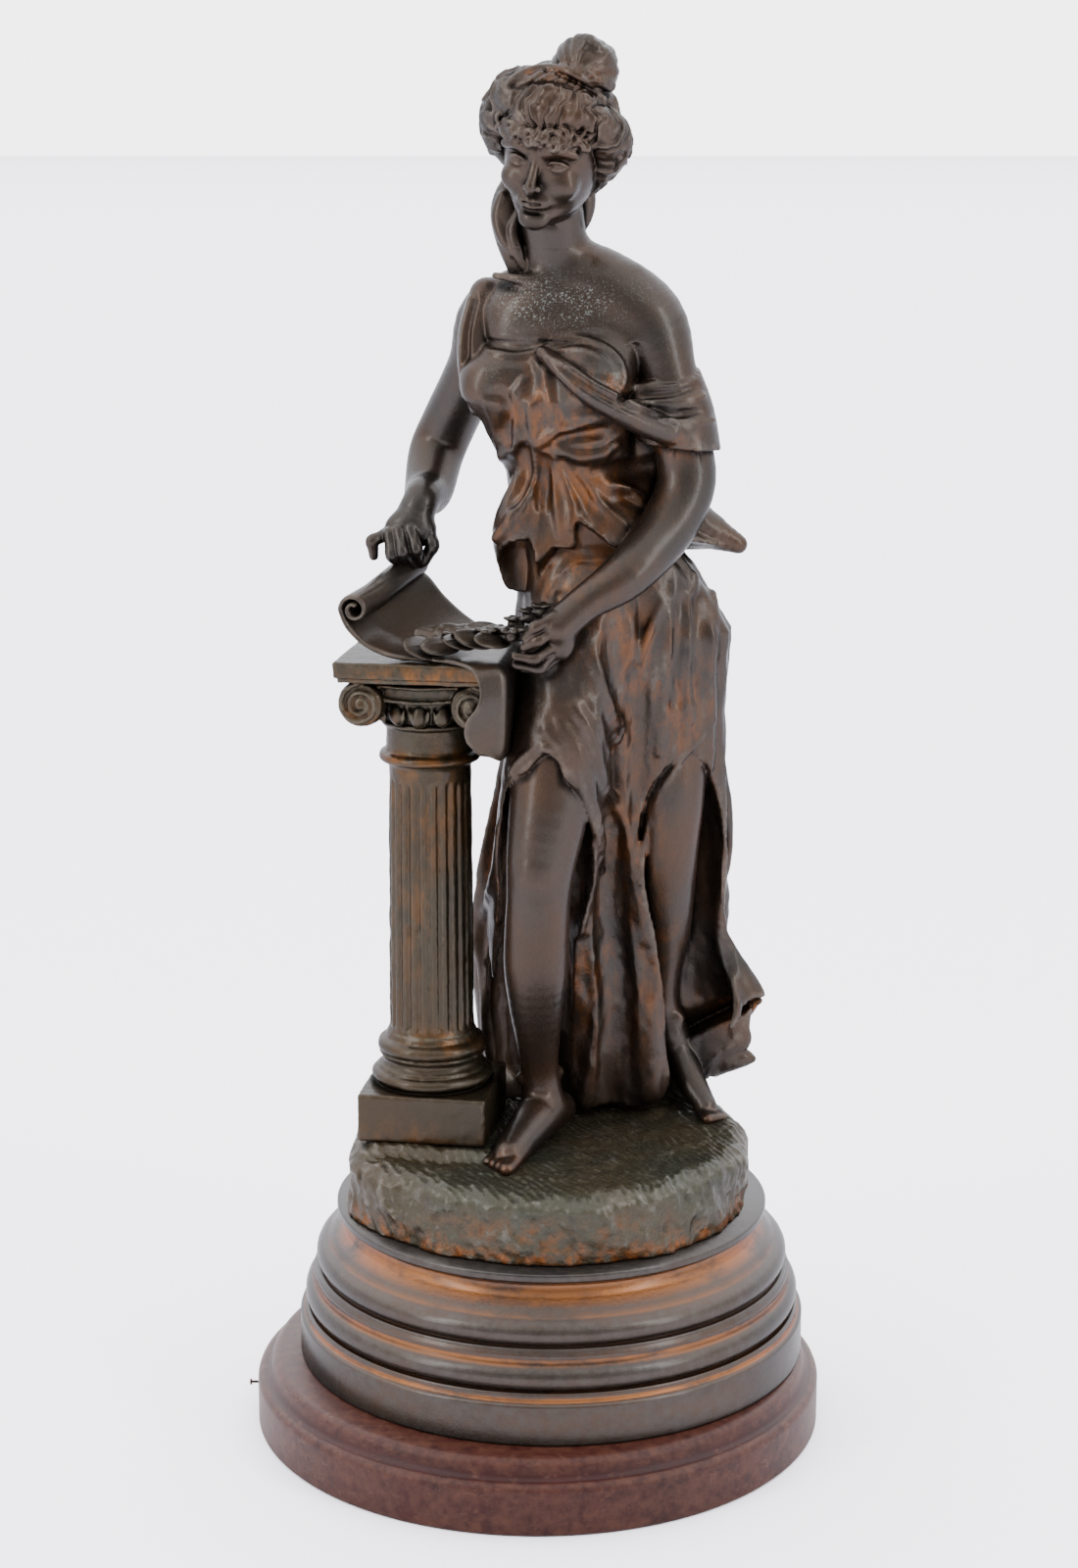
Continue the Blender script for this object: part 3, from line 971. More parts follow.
skirtWithFolds = skirtBase + laid(skirtBase, skirtRidges, 3.2)
skirtWithFolds = skirtWithFolds + laid(skirtWithFolds, skirtValleys, 3.0, -1)
skirtEdges = laid(skirtWithFolds, slitEdges, 1.4) + [flapRim, liftedHem, hemUnderside, hemTip, heelFold]
bodiceBase = [bodice, overfold, overfoldTip, openFold, clothBehindArm, openFoldRoom]
bodiceFolds = bodiceBase + laid(bodiceBase, bodiceRidges, 2.2)
bodiceFolds = bodiceFolds + laid(bodiceFolds, bodiceValleys, 2.0, -1)
bodiceFolds = bodiceFolds + laid(bodiceFolds, necklines, 1.0)
drapeForms = [rolledDrape, sleeve, shoulderDrape, egg((42, -19, 322), (14, 10, 8.5), None, 3)]
drapeForms = drapeForms + laid(drapeForms, drapeRidges, 1.2)
drapeForms = drapeForms + laid(drapeForms, drapeValleys, 1.0, -1)
legForms = [frontLeg, kneecap, frontFoot, *ankles[:2], *frontToes]
rearForms = [rearLeg, rearFoot, *ankles[2:], *rearToes]


clothTop, shoulderHeight, neckBase, headStart = 338, 345, 346, 380


def wholeFigure(x, y, z):
    skirt = layerDistance(skirtWithFolds + slitRooms + skirtEdges + [underskirt], x, y, z)
    near = np.nonzero(np.abs(skirt) < 3)[0]
    skirt[near] += (.35 * noiseField(x[near], y[near], z[near] * .35, 5.0, 11)
                    + .25 * noiseField(x[near], y[near], z[near] * .5, 2.4, 12))
    d = np.minimum(skirt, layerDistance(legForms, x, y, z))
    d = np.minimum(d, layerDistance(rearForms, x, y, z))
    cloth = layerDistance(bodiceFolds, x, y, z)
    near = np.nonzero((np.abs(cloth) < 3) & (z < clothTop))[0]
    cloth[near] += .3 * noiseField(x[near], y[near], z[near] * .4, 3.6, 13)
    d = smoothMin(d, cloth, .8)
    d = smoothMin(d, layerDistance([chest, neck, *collarbones], x, y, z), np.where(z > neckBase, 5.0, 1.0))
    arms = np.minimum(layerDistance([rightArm, rightPalm, *rightFingers], x, y, z),
                      layerDistance([leftArm, leftBack, *leftFingers], x, y, z))
    d = smoothMin(d, arms, np.where(z > shoulderHeight, 6.0, .8))
    d = smoothMin(d, layerDistance(drapeForms, x, y, z), .8)
    high = np.searchsorted(z, headStart)
    if high < len(z):
        spots = x[high:], y[high:], z[high:]
        bare = smoothMin(d[high:], layerDistance([skull, *faceForms], *spots), 2.5)
        d[high:] = smoothMin(bare, layerDistance([hair, *crownWave, *curls], *spots), .7)
    return smoothMin(d, layerDistance(napeLocks, x, y, z), .8)


def boxDistance(x, y, z, low, high):
    return np.maximum.reduce([np.abs(a - (start + end) / 2) - (end - start) / 2
                              for a, start, end in zip((x, y, z), low, high)])


figureLook = {
    "cool": "#272421", "warm": "#33251b", "deep": "#1a1613", "ochre": "#613710", "black": "#060504",
    "rubbed": "#4a423a",
    "chalk": "#6a6e6b", "rim": "#5e5953", "roughness": 0.36, "metallic": 0.85, "bump": 0.3, "lacquer": 0.22,
    "coatRoughness": 0.25,
    "patchSize": 46, "grainSize": 0.9, "pitSize": 2.4,
    "ochreSize": 9, "ochreStretch": (1.6, 1.6, .6), "ochreRange": ((.42, .05), (.64, .92)),
}
figureOchre = [  # where ochre powder was brushed into the cloth: place, reach and strength
    (3, -20, 312, 26, 26, 22, 1), (10, -18, 285, 30, 26, 16, 1), (-14, -14, 268, 12, 20, 12, .7),
    (10, -20, 250, 28, 24, 12, .9),
    (30, -20, 222, 26, 22, 20, .75), (30, -16, 190, 10, 20, 24, .8), (52, -10, 190, 18, 20, 26, .7),
    (36, -6, 120, 12, 20, 40, .8),
    (18, 0, 70, 12, 22, 46, .75), (45, 4, 66, 12, 20, 40, .6), (-25, 10, 108, 8, 22, 34, .8),
    (84, 32, 44, 20, 14, 6, 1),
    (70, 0, 120, 8, 16, 36, .6), (0, -28, 440, 26, 16, 10, .25), (2, -30, 452, 17, 12, 4, 1),
    (-20, -50, -1, 12, 10, 5, .8),
    (72, 8, -1, 12, 10, 5, .6), (20, -30, 330, 14, 20, 6, .8), (40, -25, 304, 24, 16, 6, .7),
    (24, 40, 180, 60, 30, 120, .3),
]
figureWear = [(2, -16, 362, 23, 20, 9, 1.6), (38, -12, 366, 16, 14, 7, .35), (24, -34, 330, 14, 12, 6, .3),
              (-25, -25, 335, 6, 8, 6, .3)]
# her head and hands are carved finer than the rest, each within its own room, and overlap the rest by 2 mm
rooms = {"herHead": ([-45, -50, 383], [50, 40, 475]), "herRightHand": ([-84, -14, 245], [-42, 24, 275]),
         "herLeftHand": ([-20, -62, 207], [12, -41, 242])}
overlap = 2.0
usualOpenness = {}


def bodyDistance(x, y, z):
    d = wholeFigure(x, y, z)
    for low, high in rooms.values():
        d = np.maximum(d, -boxDistance(x, y, z, low, high) - overlap)
    return d


bronze = patina("lacquered bronze on the figure, brown over black", figureLook)


def castPiece(name, distanceAt, low, high, voxel, most):
    print(name, "carving")
    points, faces = carve(distanceAt, low, high, voxel)
    piece = meshPiece(name, points, faces, bronze, "figure")
    slimmed(piece, most)
    paint(piece, figureOchre, figureWear, distanceAt=wholeFigure, reaches=(2.0, 7.0), usual=usualOpenness)
    print(name, len(piece.data.polygons), "faces")


castPiece("herFigure", bodyDistance, [-68, -62, -6], [98, 70, 470], 1.0,
          195000)
for name, (low, high) in rooms.items():
    castPiece(name, lambda x, y, z: np.maximum(wholeFigure(x, y, z), boxDistance(x, y, z, low, high)),
              np.array(low) - overlap, np.array(high) + overlap, .5,
              190000)


# the column, in its own turned place: u across, v deep, w up from the ground
def turnedAbout(x, y, z):
    c, s = math.cos(columnTurn), math.sin(columnTurn)
    dx, dy = x - columnPlace[0], y - columnPlace[1]
    return dx * c + dy * s, dy * c - dx * s, z - 5.3


def roundedBox(u, v, w, middle, half, soft):
    q = [np.abs(a - m) - h + soft for a, m, h in zip((u, v, w), middle, half)]
    outside = np.sqrt(sum(np.maximum(a, 0) ** 2 for a in q))
    return outside + np.minimum(np.maximum(np.maximum(q[0], q[1]), q[2]), 0) - soft


def lathed(profile, rho, w):  # a turned form from its outline of (radius, height)
    outline = np.array(profile, float)
    best = np.full(rho.shape, 1e6)
    inside = np.zeros(rho.shape, bool)
    for (ra, wa), (rb, wb) in zip(outline, np.roll(outline, -1, 0)):
        dr, dw = rb - ra, wb - wa
        share = np.clip(((rho - ra) * dr + (w - wa) * dw) / max(dr * dr + dw * dw, 1e-9), 0, 1)
        best = np.minimum(best, (rho - ra - share * dr) ** 2 + (w - wa - share * dw) ** 2)
        if dw:
            inside ^= ((wa > w) != (wb > w)) & (rho < ra + (w - wa) / dw * dr)
    return np.where(inside, -1, 1) * np.sqrt(best)


def arc(centre, radius, start, end, steps=8):  # points of a turned moulding's round, by angle in degrees
    angles = np.radians(np.linspace(start, end, steps))
    return [(centre[0] + radius[0] * math.cos(a), centre[1] + radius[1] * math.sin(a)) for a in angles]


columnLook = {
    **figureLook, "cool": "#27251c", "warm": "#2f2518", "ochre": "#70420f", "rubbed": "#4e483c",
    "roughness": 0.42, "ochreSize": 7, "ochreStretch": (1, 1, .5),
    "flutes": 24, "fluteDepth": 1.1, "eggs": 14, "voluteRadius": 10.1, "voluteTurns": 2.35,
}
baseProfile = [(0, 18), (24, 18), (24, 19.4), *arc((22.4, 22.6), (4, 3.2), -80, 80), (23.4, 26.4),
               (22.6, 26.6), *arc((24.6, 29.6), (3.4, 2.8), 250, 110), (22.4, 32.6),
               *arc((20.6, 36), (3.2, 3.2), -75, 80), (20, 39.6), (19.8, 41),
               (19.2, 42.2), (0, 42.2)]
neckProfile = [(0, 161), (18.2, 161), (18.6, 162), *arc((19, 164.6), (2.9, 2.3), -80, 80), (18.9, 167.4),
               (18.6, 168.4), (18.5, 177.5),
               (19.6, 178.2), *arc((19, 179.6), (1.7, 1.2), -70, 70), (19, 181), (21.5, 186), (24, 191),
               (24, 196), (0, 196)]
voluteRadius, boardLow, boardHigh = columnLook["voluteRadius"], 200.9, 209.5
shaftLow, shaftHigh = 41, 163
voluteReach = abacusWidth / 2 - voluteRadius - .6
voluteHigh, voluteLong = boardLow - voluteRadius + .3, abacusWidth * .86


def voluteForms():
    forms = []
    for side in (-1, 1):
        for front in (-1, 1):
            turns = np.linspace(0, 1, 34)
            angles = math.pi / 2 - side * turns * columnLook["voluteTurns"] * 2 * math.pi
            radii = mix(voluteRadius * .93, 1.6, turns ** .8)
            face = front * (voluteLong / 2 + .2)
            places = np.stack([side * voluteReach + radii * np.cos(angles), np.full(34, face),
                               voluteHigh + radii * np.sin(angles)], 1)
            forms.append(tube(places, mix(1.15, .7, turns), .5, 1))
            forms.append(egg((side * voluteReach, face, voluteHigh), (2.2, 1.6, 2.2), None, .4))
    return forms


def eggAndDart():
    forms = []
    for i in range(columnLook["eggs"]):
        angle = 2 * math.pi * (i + .5) / columnLook["eggs"]
        out = vec(math.cos(angle), math.sin(angle), 0)
        axes = np.array([vec(-math.sin(angle), math.cos(angle), 0), out, vec(0, 0, 1)])
        forms.append(egg(out * 23 + (0, 0, 185.8), (3.1, 2.4, 4.7), axes, .3))
        dart = 2 * math.pi * i / columnLook["eggs"]
        between = vec(math.cos(dart), math.sin(dart), 0)
        dartEnds = [between * 23.2 + (0, 0, 190.5), between * 20.6 + (0, 0, 181.5)]
        forms.append(tube(dartEnds, [1, .45], .3, 1))
        rim = []
        for t in np.linspace(0, math.pi, 7):
            height = 187.4 - 6.6 * math.sin(t)
            rim.append(out * (23.6 - 1.8 * math.sin(t)) + axes[0] * 4.1 * math.cos(t) + (0, 0, height))
        forms.append(tube(rim, [.7] * 7, .3, 1))
    return forms


capitalForms = voluteForms() + eggAndDart()
for front in (-1, 1):  # the sagging band between the volutes, with a raised rim along both of its edges
    for lift, sag in ((-1.4, -1.4), (-6, -3)):
        spots = np.linspace(-voluteReach, voluteReach, 9)
        low = boardLow + lift + sag * (1 - (spots / voluteReach) ** 2)
        capitalForms.append(tube(np.stack([spots, np.full(9, front * abacusWidth * .375), low], 1),
                                 .9, .5, 2))


def columnDistance(x, y, z):
    u, v, w = turnedAbout(x, y, z)
    d = np.full(x.shape, 30.0, np.float32)
    rho, angle = np.hypot(u, v), np.arctan2(v, u)

    def within(low, high):
        return slice(*np.searchsorted(w, [low - 4, high + 4]))

    part = within(-1, 19)
    d[part] = roundedBox(u[part], v[part], w[part], (0, 0, 8.5), (28, 28, 10.5), 1.1)
    part = within(18, 43)
    d[part] = smoothMin(d[part], lathed(baseProfile, rho[part], w[part]), .8)
    part = within(shaftLow, shaftHigh)
    taper = np.interp(w[part], [shaftLow, 44, 100, 160, shaftHigh], [19.2, 18.3, 18.1, 17.6, 18])
    fluted = smooth(w[part], 44, 47) * (1 - smooth(w[part], 152, 156))
    groove = np.clip((np.abs(np.sin(angle[part] * columnLook["flutes"] / 2)) - .62) / .38, 0, 1)
    shaft = rho[part] - taper + columnLook["fluteDepth"] * fluted * groove
    d[part] = smoothMin(d[part], np.maximum(shaft, np.maximum(shaftLow - w[part], w[part] - shaftHigh)), .7)
    part = within(161, 196)
    d[part] = smoothMin(d[part], lathed(neckProfile, rho[part], w[part]), .6)
    part = within(voluteHigh - voluteRadius, boardLow + 1)
    up, vp, wp = u[part], v[part], w[part]
    waist = np.interp(np.abs(vp) / voluteLong * 2, [0, .25, .84, 1], [.74, .82, 1, .9]) * voluteRadius
    bolsters = np.maximum(np.hypot(np.abs(up) - voluteReach, wp - voluteHigh) - waist,
                          np.abs(vp) - voluteLong / 2)
    sag = boardLow - 6.4 - 3 * np.clip(1 - (up / voluteReach) ** 2, 0, 1)
    band = np.maximum(np.maximum(sag - wp, wp - boardLow - 1),
                      np.maximum(np.abs(up) - voluteReach, np.abs(vp) - abacusWidth * .365))
    d[part] = smoothMin(d[part], np.minimum(bolsters, band), .8)
    part = within(boardLow - .5, boardHigh)
    step = np.where(w[part] < boardLow + 2.2, 1.6, 0)
    halfWidth = abacusWidth / 2
    board = roundedBox(u[part], v[part], w[part], (0, 0, (boardLow + boardHigh) / 2),
                       (halfWidth, halfWidth, 4.5), .9)
    board = np.maximum(board, np.maximum(np.abs(u[part]), np.abs(v[part])) - halfWidth + step)
    d[part] = smoothMin(d[part], board, .5)
    part = within(170, boardHigh)
    d[part] = smoothMin(d[part], layerDistance(capitalForms, u[part], v[part], w[part]), .4)
    near = np.nonzero(np.abs(d) < 3)[0]
    spots = x[near], y[near], z[near]
    d[near] += .22 * noiseField(*spots, 7.0, 21) + .12 * noiseField(*spots, 2.2, 22)
    return d


print("column: carving")
points, faces = carve(columnDistance, [-94, -50, 3.5], [-10, 36, 216], .7)
columnOchre = [(-52, -40, 210, 40, 12, 4.5, 1), (-80, -20, 190, 14, 30, 9, .5),
               (-52, -25, 171, 30, 14, 3, .8), (-52, -25, 150, 24, 20, 30, .45),
               (-40, -25, 48, 26, 18, 6, .6), (-52, -36, 6, 40, 14, 7, .35),
               (-60, -24, 100, 12, 20, 40, .35)]
greenBronze = patina("lacquered bronze on the column, greener", columnLook)
column = meshPiece("fluted-column", points, faces, greenBronze, "column")
slimmed(column, 145000)
paint(column, columnOchre, distanceAt=columnDistance, reaches=(1.6, 5.0))
print("column:", len(column.data.polygons), "faces")


# the scroll: one bent sheet, rolled at its lifted end
scrollLook = {**figureLook, "cool": "#292623", "warm": "#32281f", "roughness": 0.4, "turns": 1.35}


def sheetMesh():
    lines = [[onCapital(*p) for p in line] for line in sheetLines]
    first = lines[0]
    leftwards = unit((first[0] - lines[2][0]) * (1, 1, 0))
    rolled, rollOut = [], rollRadius * 1.12
    for left in np.linspace(1, 1 / 36, 36):
        angle, radius = left * scrollLook["turns"] * 2 * math.pi, rollOut * (1 - .7 * left)
        shift = leftwards * (math.cos(angle) * radius - rollOut) + (0, 0, math.sin(angle) * radius)
        rolled.append([p + shift for p in first])
    rows = np.array(rolled + lines)
    body = np.stack([smoothPath(rows[len(rolled):, i], 7) for i in range(3)], 1)
    rows = np.concatenate([rows[:len(rolled)], body])
    shares = np.linspace(0, 1, 46)
    across = np.stack([np.where((shares < .3)[:, None],
                                mix(r[0], r[1], np.minimum(shares / .3, 1)[:, None]),
                                mix(r[1], r[2], np.maximum((shares - .3) / .7, 0)[:, None])) for r in rows])
    kernel = np.array([1, 2, 3, 2, 1]) / 9
    padded = np.pad(across, ((0, 0), (2, 2), (0, 0)), mode="edge")
    inner = sum(k * padded[:, i:i + len(shares)] for i, k in enumerate(kernel))
    across[:, 2:-2] = inner[:, 2:-2]
    normal = np.cross(np.gradient(across, axis=0), np.gradient(across, axis=1))
    normal /= np.linalg.norm(normal, axis=2, keepdims=True)
    edge = np.minimum(1, np.minimum(np.arange(46), np.arange(46)[::-1]) / 1.5 + .45)
    half = sheetThickness / 2 * edge[None, :, None]
    top, under = across + normal * half, across - normal * half
    count, wide = across.shape[:2]
    grid = np.arange(count * wide).reshape(count, wide)
    upper = np.stack([grid[:-1, :-1], grid[1:, :-1], grid[1:, 1:], grid[:-1, 1:]], -1).reshape(-1, 4)
    lower = upper[:, ::-1] + count * wide
    loop = np.concatenate([grid[0, :], grid[1:, -1], grid[-1, -2::-1], grid[-2:0:-1, 0]])
    following = np.roll(loop, -1)
    rim = np.stack([loop, following, following + count * wide, loop + count * wide], 1)
    return np.concatenate([top.reshape(-1, 3), under.reshape(-1, 3)]), np.concatenate([upper, lower, rim])


points, faces = sheetMesh()
scrollBronze = patina("lacquered bronze on the scroll", scrollLook)
scroll = meshPiece("unrolled-scroll", points, faces, scrollBronze, "scroll")
rounder = scroll.modifiers.new("soft edges", "SUBSURF")
rounder.levels = rounder.render_levels = 1
applied(scroll)
paint(scroll, [(-70, -40, 222, 24, 14, 6, .35), (-30, -40, 216, 30, 10, 5, .4)])
print("scroll:", len(scroll.data.polygons), "faces")


# the flower spray
sprayLook = {**scrollLook, "rubbed": "#454039", "leaves": 9, "petals": 5}
sprayBox = ([-76, -60, 214], [6, -16, 243])


def alongSpray(share):
    return mix(sprayTip, sprayEnd, share) + (0, 0, 1.5 * math.sin(math.pi * share))


def sprayForms():
    forms = [tube([alongSpray(s) for s in (0, .3, .6, .85, 1)], [.9, 1.5, 1.7, 1.5, 1.3], .6, 4)]
    for i in range(sprayLook["leaves"]):
        share, side = .085 * i, 1 if i % 2 else -1
        yaw = math.radians(side * -38 + 12 * math.sin(i * 1.9))
        along = unit(vec(-math.cos(yaw), -math.sin(yaw), .12 * (1 + math.sin(i * 2.3))))
        wide = unit(np.cross(vec(0, -.75, 1), along))
        axes = np.array([along, wide, np.cross(along, wide)])
        middle = alongSpray(share) + along * 4 + (0, side * 2.6, .8 + side * 1.1)
        leaf = (9.6, 5.8, 1.1) if i else (11, 8, 1.2)
        forms.append(egg(middle, leaf, axes, .5))
        vein = [middle - along * leaf[0] * .9 + (0, 0, .8), middle + (0, 0, 1.2),
                middle + along * leaf[0] * .85 + (0, 0, .7)]
        forms.append(tube(vein, [.35, .4, .25], .4, 2))
    lying = [alongSpray(.2 + .12 * i) + (0, aside, 2.2)
             for i, aside in enumerate((3.6, -3.2, 4.2, -1, 3, -4, 1))]
    aboveHand = [vec(-15, -32, 231.5), vec(-9, -33, 235), vec(-4, -35, 237.5)]
    for i, centre in enumerate(lying + aboveHand):
        for petal in range(sprayLook["petals"]):
            t = petal * 2 * math.pi / sprayLook["petals"] + i
            c, s = math.cos(t), math.sin(t)
            out = vec(c, s, .5)
            axes = np.array([unit(out), vec(-s, c, 0), vec(-.24 * c, -.24 * s, .97)])
            forms.append(egg(centre + out * 2.6, (2.8, 2.1, .9), axes, .3))
        forms.append(egg(centre + (0, 0, .9), (1.1, 1.1, .9), None, .2))
        forms.append(egg(centre + (0, 0, -1), (2.9, 2.9, 2.4) if i < len(lying) else (3.6, 3.6, 3.2),
                         None, .6))
    return forms


stemLeavesAndFlowers = sprayForms()


def sprayDistance(x, y, z):
    return layerDistance(stemLeavesAndFlowers, x, y, z)


print("spray: carving")
points, faces = carve(sprayDistance, *sprayBox, .5)
sprayBronze = patina("lacquered bronze on the flowers", sprayLook)
spray = meshPiece("flower-spray", points, faces, sprayBronze, "flower_spray")
slimmed(spray, 60000)
paint(spray, distanceAt=sprayDistance, reaches=(1.0, 3.5))
print("spray:", len(spray.data.polygons), "faces")


# the rocky ground
groundLook = {
    **figureLook, "cool": "#313229", "warm": "#372e20", "deep": "#1b1a16", "ochre": "#7c4314",
    "rubbed": "#64605a", "roughness": .5, "bump": .6, "grainSize": 1.2,
    "ochreSize": 6, "ochreStretch": (1, 1, 1),
    "radius": 87, "foot": -31.7, "lipHeight": 4.7,
}


def groundDistance(x, y, z):
    angle, rho = np.arctan2(y, x), np.hypot(x, y)
    level = np.clip((z - groundLook["foot"]) / 29.7, 0, 1)
    waves = np.sin(angle * 5 + level * 3) * .9 + np.sin(angle * 11 + level * 7) * .8
    lumps = (waves + np.sin(angle * 17) * .6) * .7
    bulge = 5.5 * bump(turnFrom(angle, math.pi * 1.12), .45)
    radius = groundLook["radius"] + lumps + bulge
    u, v, _ = turnedAbout(x, y, z)
    fromPlinth = np.maximum(np.abs(u), np.abs(v)) - 30
    crown = mix(-1.2, 1.8, smooth(y, -10, 50)) + 4.6 * (1 - smooth(fromPlinth, -1, 5))
    crown = np.minimum(crown, groundLook["lipHeight"])
    down = z - crown - .5 * noiseField(x, y, z * 0, 14.0, 31)
    side = rho - radius + 5 * smooth(z, -9, 2)
    body = smoothMin(-side, -down, 6.0) * -1
    rough = .9 * noiseField(x, y, z, 9.0, 32) + .55 * noiseField(x, y, z, 4.0, 33)
    rough = rough + .3 * noiseField(x, y, z, 2.0, 34)
    streak = angle * 26 + noiseField(x, y, z, 12.0, 35) * 3 + z * .12
    strokes = .55 * np.abs(np.sin(x * .75 + y * .5 + noiseField(x, y, z, 11.0, 36) * 2.6))
    hatch = np.abs(np.sin(streak)) * .5 * smooth(-z, 2, 9) + strokes * (1 - smooth(-z, 2, 7))
    return np.maximum(body * .85 + rough * .8 + hatch, groundLook["foot"] - z)


print("ground: carving")
points, faces = carve(groundDistance, [-96, -92, -31.9], [92, 92, 8], .8)
earth = patina("cast bronze earth, rubbed on the ridges", groundLook)
ground = meshPiece("rocky-ground", points, faces, earth, "rocky_ground")
slimmed(ground, 155000)
aroundEdge = np.linspace(0, 2 * math.pi, 22)
groundOchre = [(90 * math.cos(a), 90 * math.sin(a), -31, 22, 22, 7, 1.1) for a in aroundEdge]
groundOchre.append((0, -80, -20, 60, 18, 9, .45))
paint(ground, groundOchre, distanceAt=groundDistance, reaches=(1.6, 5.0))
print("ground:", len(ground.data.polygons), "faces")


# turned pieces: the metal socle, the wooden base and the nail in its side
def latheMesh(profile, segments, wobble=0.0):
    outline = np.array(profile, float)
    angles = np.arange(segments) * 2 * math.pi / segments
    rows = []
    for r, h in outline[1:-1]:
        uneven = 1 + wobble * np.sin(3 * angles + h * .02) / max(r, 1)
        rows.append(np.stack([r * np.cos(angles) * uneven, r * np.sin(angles) * uneven,
                              np.full(segments, h)], 1))
    points = np.concatenate([*rows, [[0, 0, outline[0, 1]]], [[0, 0, outline[-1, 1]]]])
    index = np.arange(segments)
    after = (index + 1) % segments
    faces = []
    for start in np.arange(len(rows) - 1) * segments:
        faces.append(np.stack([index + start, after + start, after + start + segments,
                               index + start + segments], 1))
    foot, head = len(rows) * segments, len(rows) * segments + 1
    last = (len(rows) - 1) * segments
    under = [(foot, int(b), int(a)) for a, b in zip(index, after)]
    lid = [(head, int(a) + last, int(b) + last) for a, b in zip(index, after)]
    return points, np.concatenate(faces), under + lid


def lathePiece(name, profile, segments, material, node, centre, wobble=0.0):
    points, quads, triangles = latheMesh(profile, segments, wobble)
    mesh = bpy.data.meshes.new(name)
    mesh.from_pydata(((points + centre) / 1000).tolist(), [], quads.tolist() + triangles)
    mesh.update()
    return placed(name, mesh, material, node)


def subdivided(profile, longest=0.7):
    out = [profile[0]]
    for a, b in zip(profile[:-1], profile[1:]):
        steps = max(1, int(math.hypot(b[0] - a[0], b[1] - a[1]) / longest)) if a[0] > 1 and b[0] > 1 else 1
        out += [(mix(a[0], b[0], i / steps), mix(a[1], b[1], i / steps)) for i in range(1, steps + 1)]
    return out


print("turned pieces: socle, wooden base and nail")
socleProfile = [(0, 0), (105, 0), (111.4, 0), (112, .5), (112, 17.4), (111.4, 18.2), (109.8, 18.9),
                (109.4, 19.8), (109.6, 21), (109.2, 22.4),
                *arc((103.6, 27.6), (5.9, 6), -62, 62), (105.4, 33.6), (105.2, 35.4), (105.6, 36.4),
                (105.6, 37.8), (104.6, 38.6), (104.4, 40),
                *arc((97.2, 45.2), (7.2, 6.2), -50, 60), (99, 51.6), (96.4, 54), (93.6, 56), (91.4, 57.8),
                (90, 60), (89.6, 62),
                (90.4, 64), (93.4, 65), (94.6, 65.4), (95, 66), (95, 68.4), (94.4, 69), (0, 69)]
socleLook = {
    **figureLook, "cool": "#222120", "warm": "#29231e", "ochre": "#7b4a20", "rubbed": "#34302c",
    "lacquer": .3, "bump": .25, "patchSize": 45, "ochreSize": 22, "ochreStretch": (1, 1, 2.5),
    "ochreRange": ((.3, .1), (.52, .92)), "chalk": "#9a958c", "segments": 288, "unevenness": .12,
}
soclePlace = vec(6, 6, 31)
spunMetal = patina("spun metal, black lacquer worn to copper", socleLook)
socle = lathePiece("moulded-socle", subdivided(socleProfile), socleLook["segments"], spunMetal,
                   "metal_socle", soclePlace, socleLook["unevenness"])
copperBands = [(10, 8, .8), (20, 3.2, 1), (26, 4, .5), (36, 3.6, 1), (44, 4, .4), (52, 3.5, .8),
               (57, 6.5, 1), (62, 4, .9)]
paint(socle, [(0, 0, height, 400, 400, reach, strength) for height, reach, strength in copperBands], (),
      soclePlace, (10, 80))

woodProfile = [(0, 0), (118, 0), (124, 0), (125, 1), (125, 19.6), (124.4, 21.2), (122.8, 22.3),
               (120.6, 22.8), (119.4, 24), (118.8, 26),
               (118.4, 28.2), (117.4, 29.6), (116, 30.6), (114, 31), (0, 31)]
woodLook = {
    "paint": "#1f0504", "dull": "#280b08", "bare": "#3b2117", "dirt": "#0d0504", "roughness": .5,
    "gloss": .15, "segments": 288, "unevenness": .25,
}


# thin dull paint, clouded, chipped to bare wood in small flakes and rubbed through along the edges
def oldPaint(name, look):
    made = newMaterial(name)
    hollow = add(made, "Attribute", attribute_name="hollow").outputs["Fac"]
    base = blendOf(made, cloudy(made, 26, 4, .6), colour(look["paint"]), colour(look["dull"]))
    worn = cloudy(made, 7, 8, .72, ((.57, 0.0), (.63, .85)), (1, 1, 1.8))
    base = blendOf(made, worn, base, colour(look["bare"]))
    specks = cloudy(made, 2.4, 4, .7, ((.64, 0.0), (.7, .8)))
    base = blendOf(made, specks, base, colour(look["dirt"]))
    streaks = cloudy(made, 18, 5, .7, ((.45, 0.0), (.7, .5)), (1, 1, .2))
    base = blendOf(made, streaks, base, colour(look["dirt"]))
    edges = ramped(made, hollow, (.05, .8), (.26, 0.0))
    base = blendOf(made, times(made, edges, cloudy(made, 5, 5, .7)), base, colour(look["bare"]))
    lift = add(made, "Bump", {"Height": worn, "Strength": .25, "Distance": .0004})
    shader = add(made, "BsdfPrincipled", {"Base Color": base, "Roughness": look["roughness"],
                                          "Specular IOR Level": look["gloss"], "Normal": lift.outputs[0]})
    add(made, "OutputMaterial", {"Surface": shader.outputs[0]})
    return made


paintedWood = oldPaint("turned wood, old oxblood paint worn through", woodLook)
woodBase = lathePiece("wooden-base", subdivided(woodProfile), woodLook["segments"], paintedWood,
                      "wood_base", vec(0, 0, 0), woodLook["unevenness"])
paint(woodBase, (), (), vec(0, 0, 0), (10, 80))

nailLook = {"steel": "#3a3532", "rust": "#5b3a26", "metallic": .8, "roughness": .55, "height": 12.1,
            "start": 125.3}


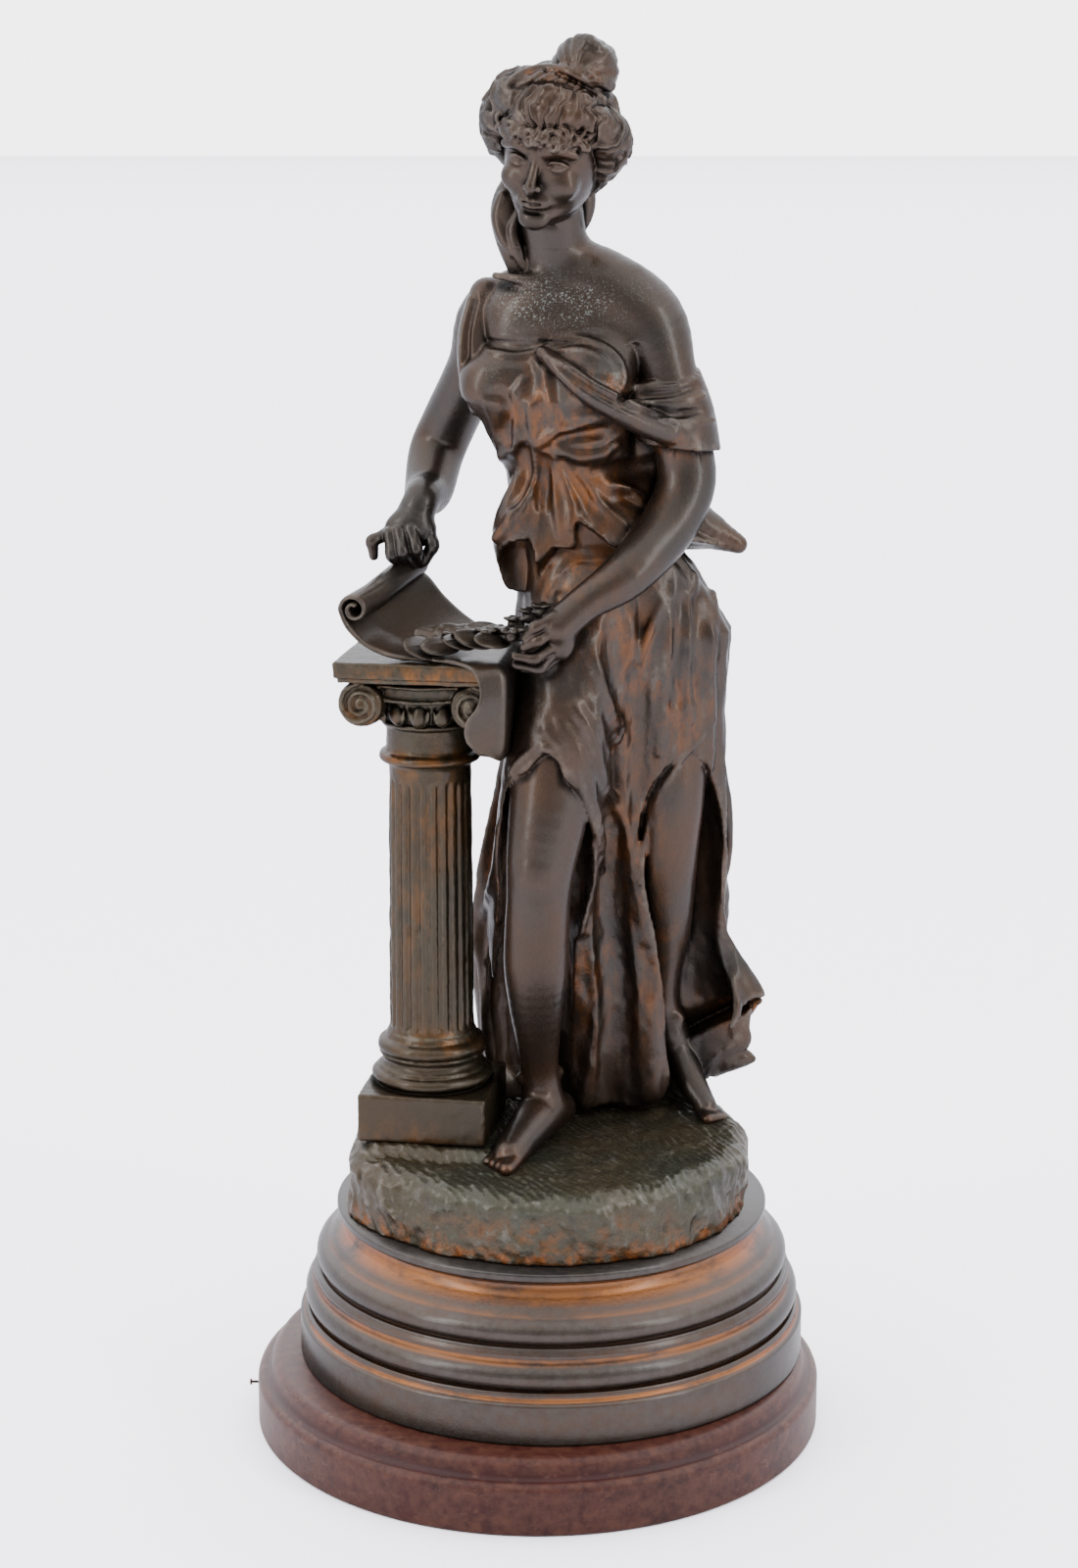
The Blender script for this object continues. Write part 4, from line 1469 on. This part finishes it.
# drawn steel gone dull, with rust in specks of about a millimetre
def rustySteel(name, look):
    made = newMaterial(name)
    base = blendOf(made, cloudy(made, 1.2), colour(look["steel"]), colour(look["rust"]))
    shader = add(made, "BsdfPrincipled", {"Base Color": base, "Metallic": look["metallic"],
                                          "Roughness": look["roughness"]})
    add(made, "OutputMaterial", {"Surface": shader.outputs[0]})
    return made


nailProfile = [(0, 0), (.5, 0), (.55, .1), (.55, 3), (1.3, 3.1), (1.45, 3.4), (1.35, 3.8), (.8, 4), (0, 4)]
nail = lathePiece("base-nail", nailProfile, 24, rustySteel("old steel nail, dark with rust", nailLook),
                  "base_nail", vec(0, 0, 0))
upright = np.array([tuple(v.co) for v in nail.data.vertices])
lying = np.stack([-nailLook["start"] / 1000 - upright[:, 2], upright[:, 1],
                  upright[:, 0] + nailLook["height"] / 1000], 1)
nail.data.vertices.foreach_set("co", lying.astype(np.float32).ravel())
nail.data.update()

# floor, light and camera
print("floor, light and camera")
floorMesh = bpy.data.meshes.new("floor")
floorMesh.from_pydata([(-12, -6, 0), (12, -6, 0), (12, 18, 0), (-12, 18, 0)], [], [(0, 1, 2, 3)])
floor = bpy.data.objects.new("floor", floorMesh)
bpy.context.scene.collection.objects.link(floor)
paper = newMaterial("white paper sweep")
shader = add(paper, "BsdfPrincipled", {"Base Color": colour("#eeedf3"), "Roughness": .9})
add(paper, "OutputMaterial", {"Surface": shader.outputs[0]})
floorMesh.materials.append(paper)

world = bpy.data.worlds.new("studio")
bpy.context.scene.world = world
world.use_nodes = True
sky = world.node_tree.nodes["Background"]
sky.inputs["Color"].default_value = colour("#f3f2f8")
# the room is bright paper behind and beside, and dimmer in front
direction = world.node_tree.nodes.new("ShaderNodeTexCoord")
parted = world.node_tree.nodes.new("ShaderNodeSeparateXYZ")
world.node_tree.links.new(direction.outputs["Generated"], parted.inputs[0])
fade = world.node_tree.nodes.new("ShaderNodeMapRange")
for key, value in (("From Min", -.6), ("From Max", .5), ("To Min", 1.3), ("To Max", 5.2)):
    fade.inputs[key].default_value = value
world.node_tree.links.new(parted.outputs["Y"], fade.inputs["Value"])
world.node_tree.links.new(fade.outputs[0], sky.inputs["Strength"])


def softLight(name, place, aim, size, power):
    light = bpy.data.lights.new(name, "AREA")
    light.shape = "RECTANGLE"
    light.size, light.size_y = size
    light.energy = power
    item = bpy.data.objects.new(name, light)
    bpy.context.scene.collection.objects.link(item)
    item.location = place
    item.rotation_euler = (Vector(aim) - Vector(place)).to_track_quat("-Z", "Y").to_euler()


softLight("softbox at the left", (-1.2, -.8, .9), (0, 0, .35), (.3, 1.3), 21)
softLight("softbox at the right", (1.25, -.9, .9), (0, 0, .35), (.3, 1.3), 21)
softLight("ceiling light", (0, 6, 5), (0, 6, 0), (20, 24), 3150)

camera = bpy.data.objects.new("camera", bpy.data.cameras.new("camera"))
bpy.context.scene.collection.objects.link(camera)
camera.location = (0, -1.2717, .591)
camera.rotation_euler = (math.radians(90 - 13.39), 0, 0)
camera.data.lens = 70.02
camera.data.sensor_width = 36
camera.data.shift_x = .0009
bpy.context.scene.camera = camera
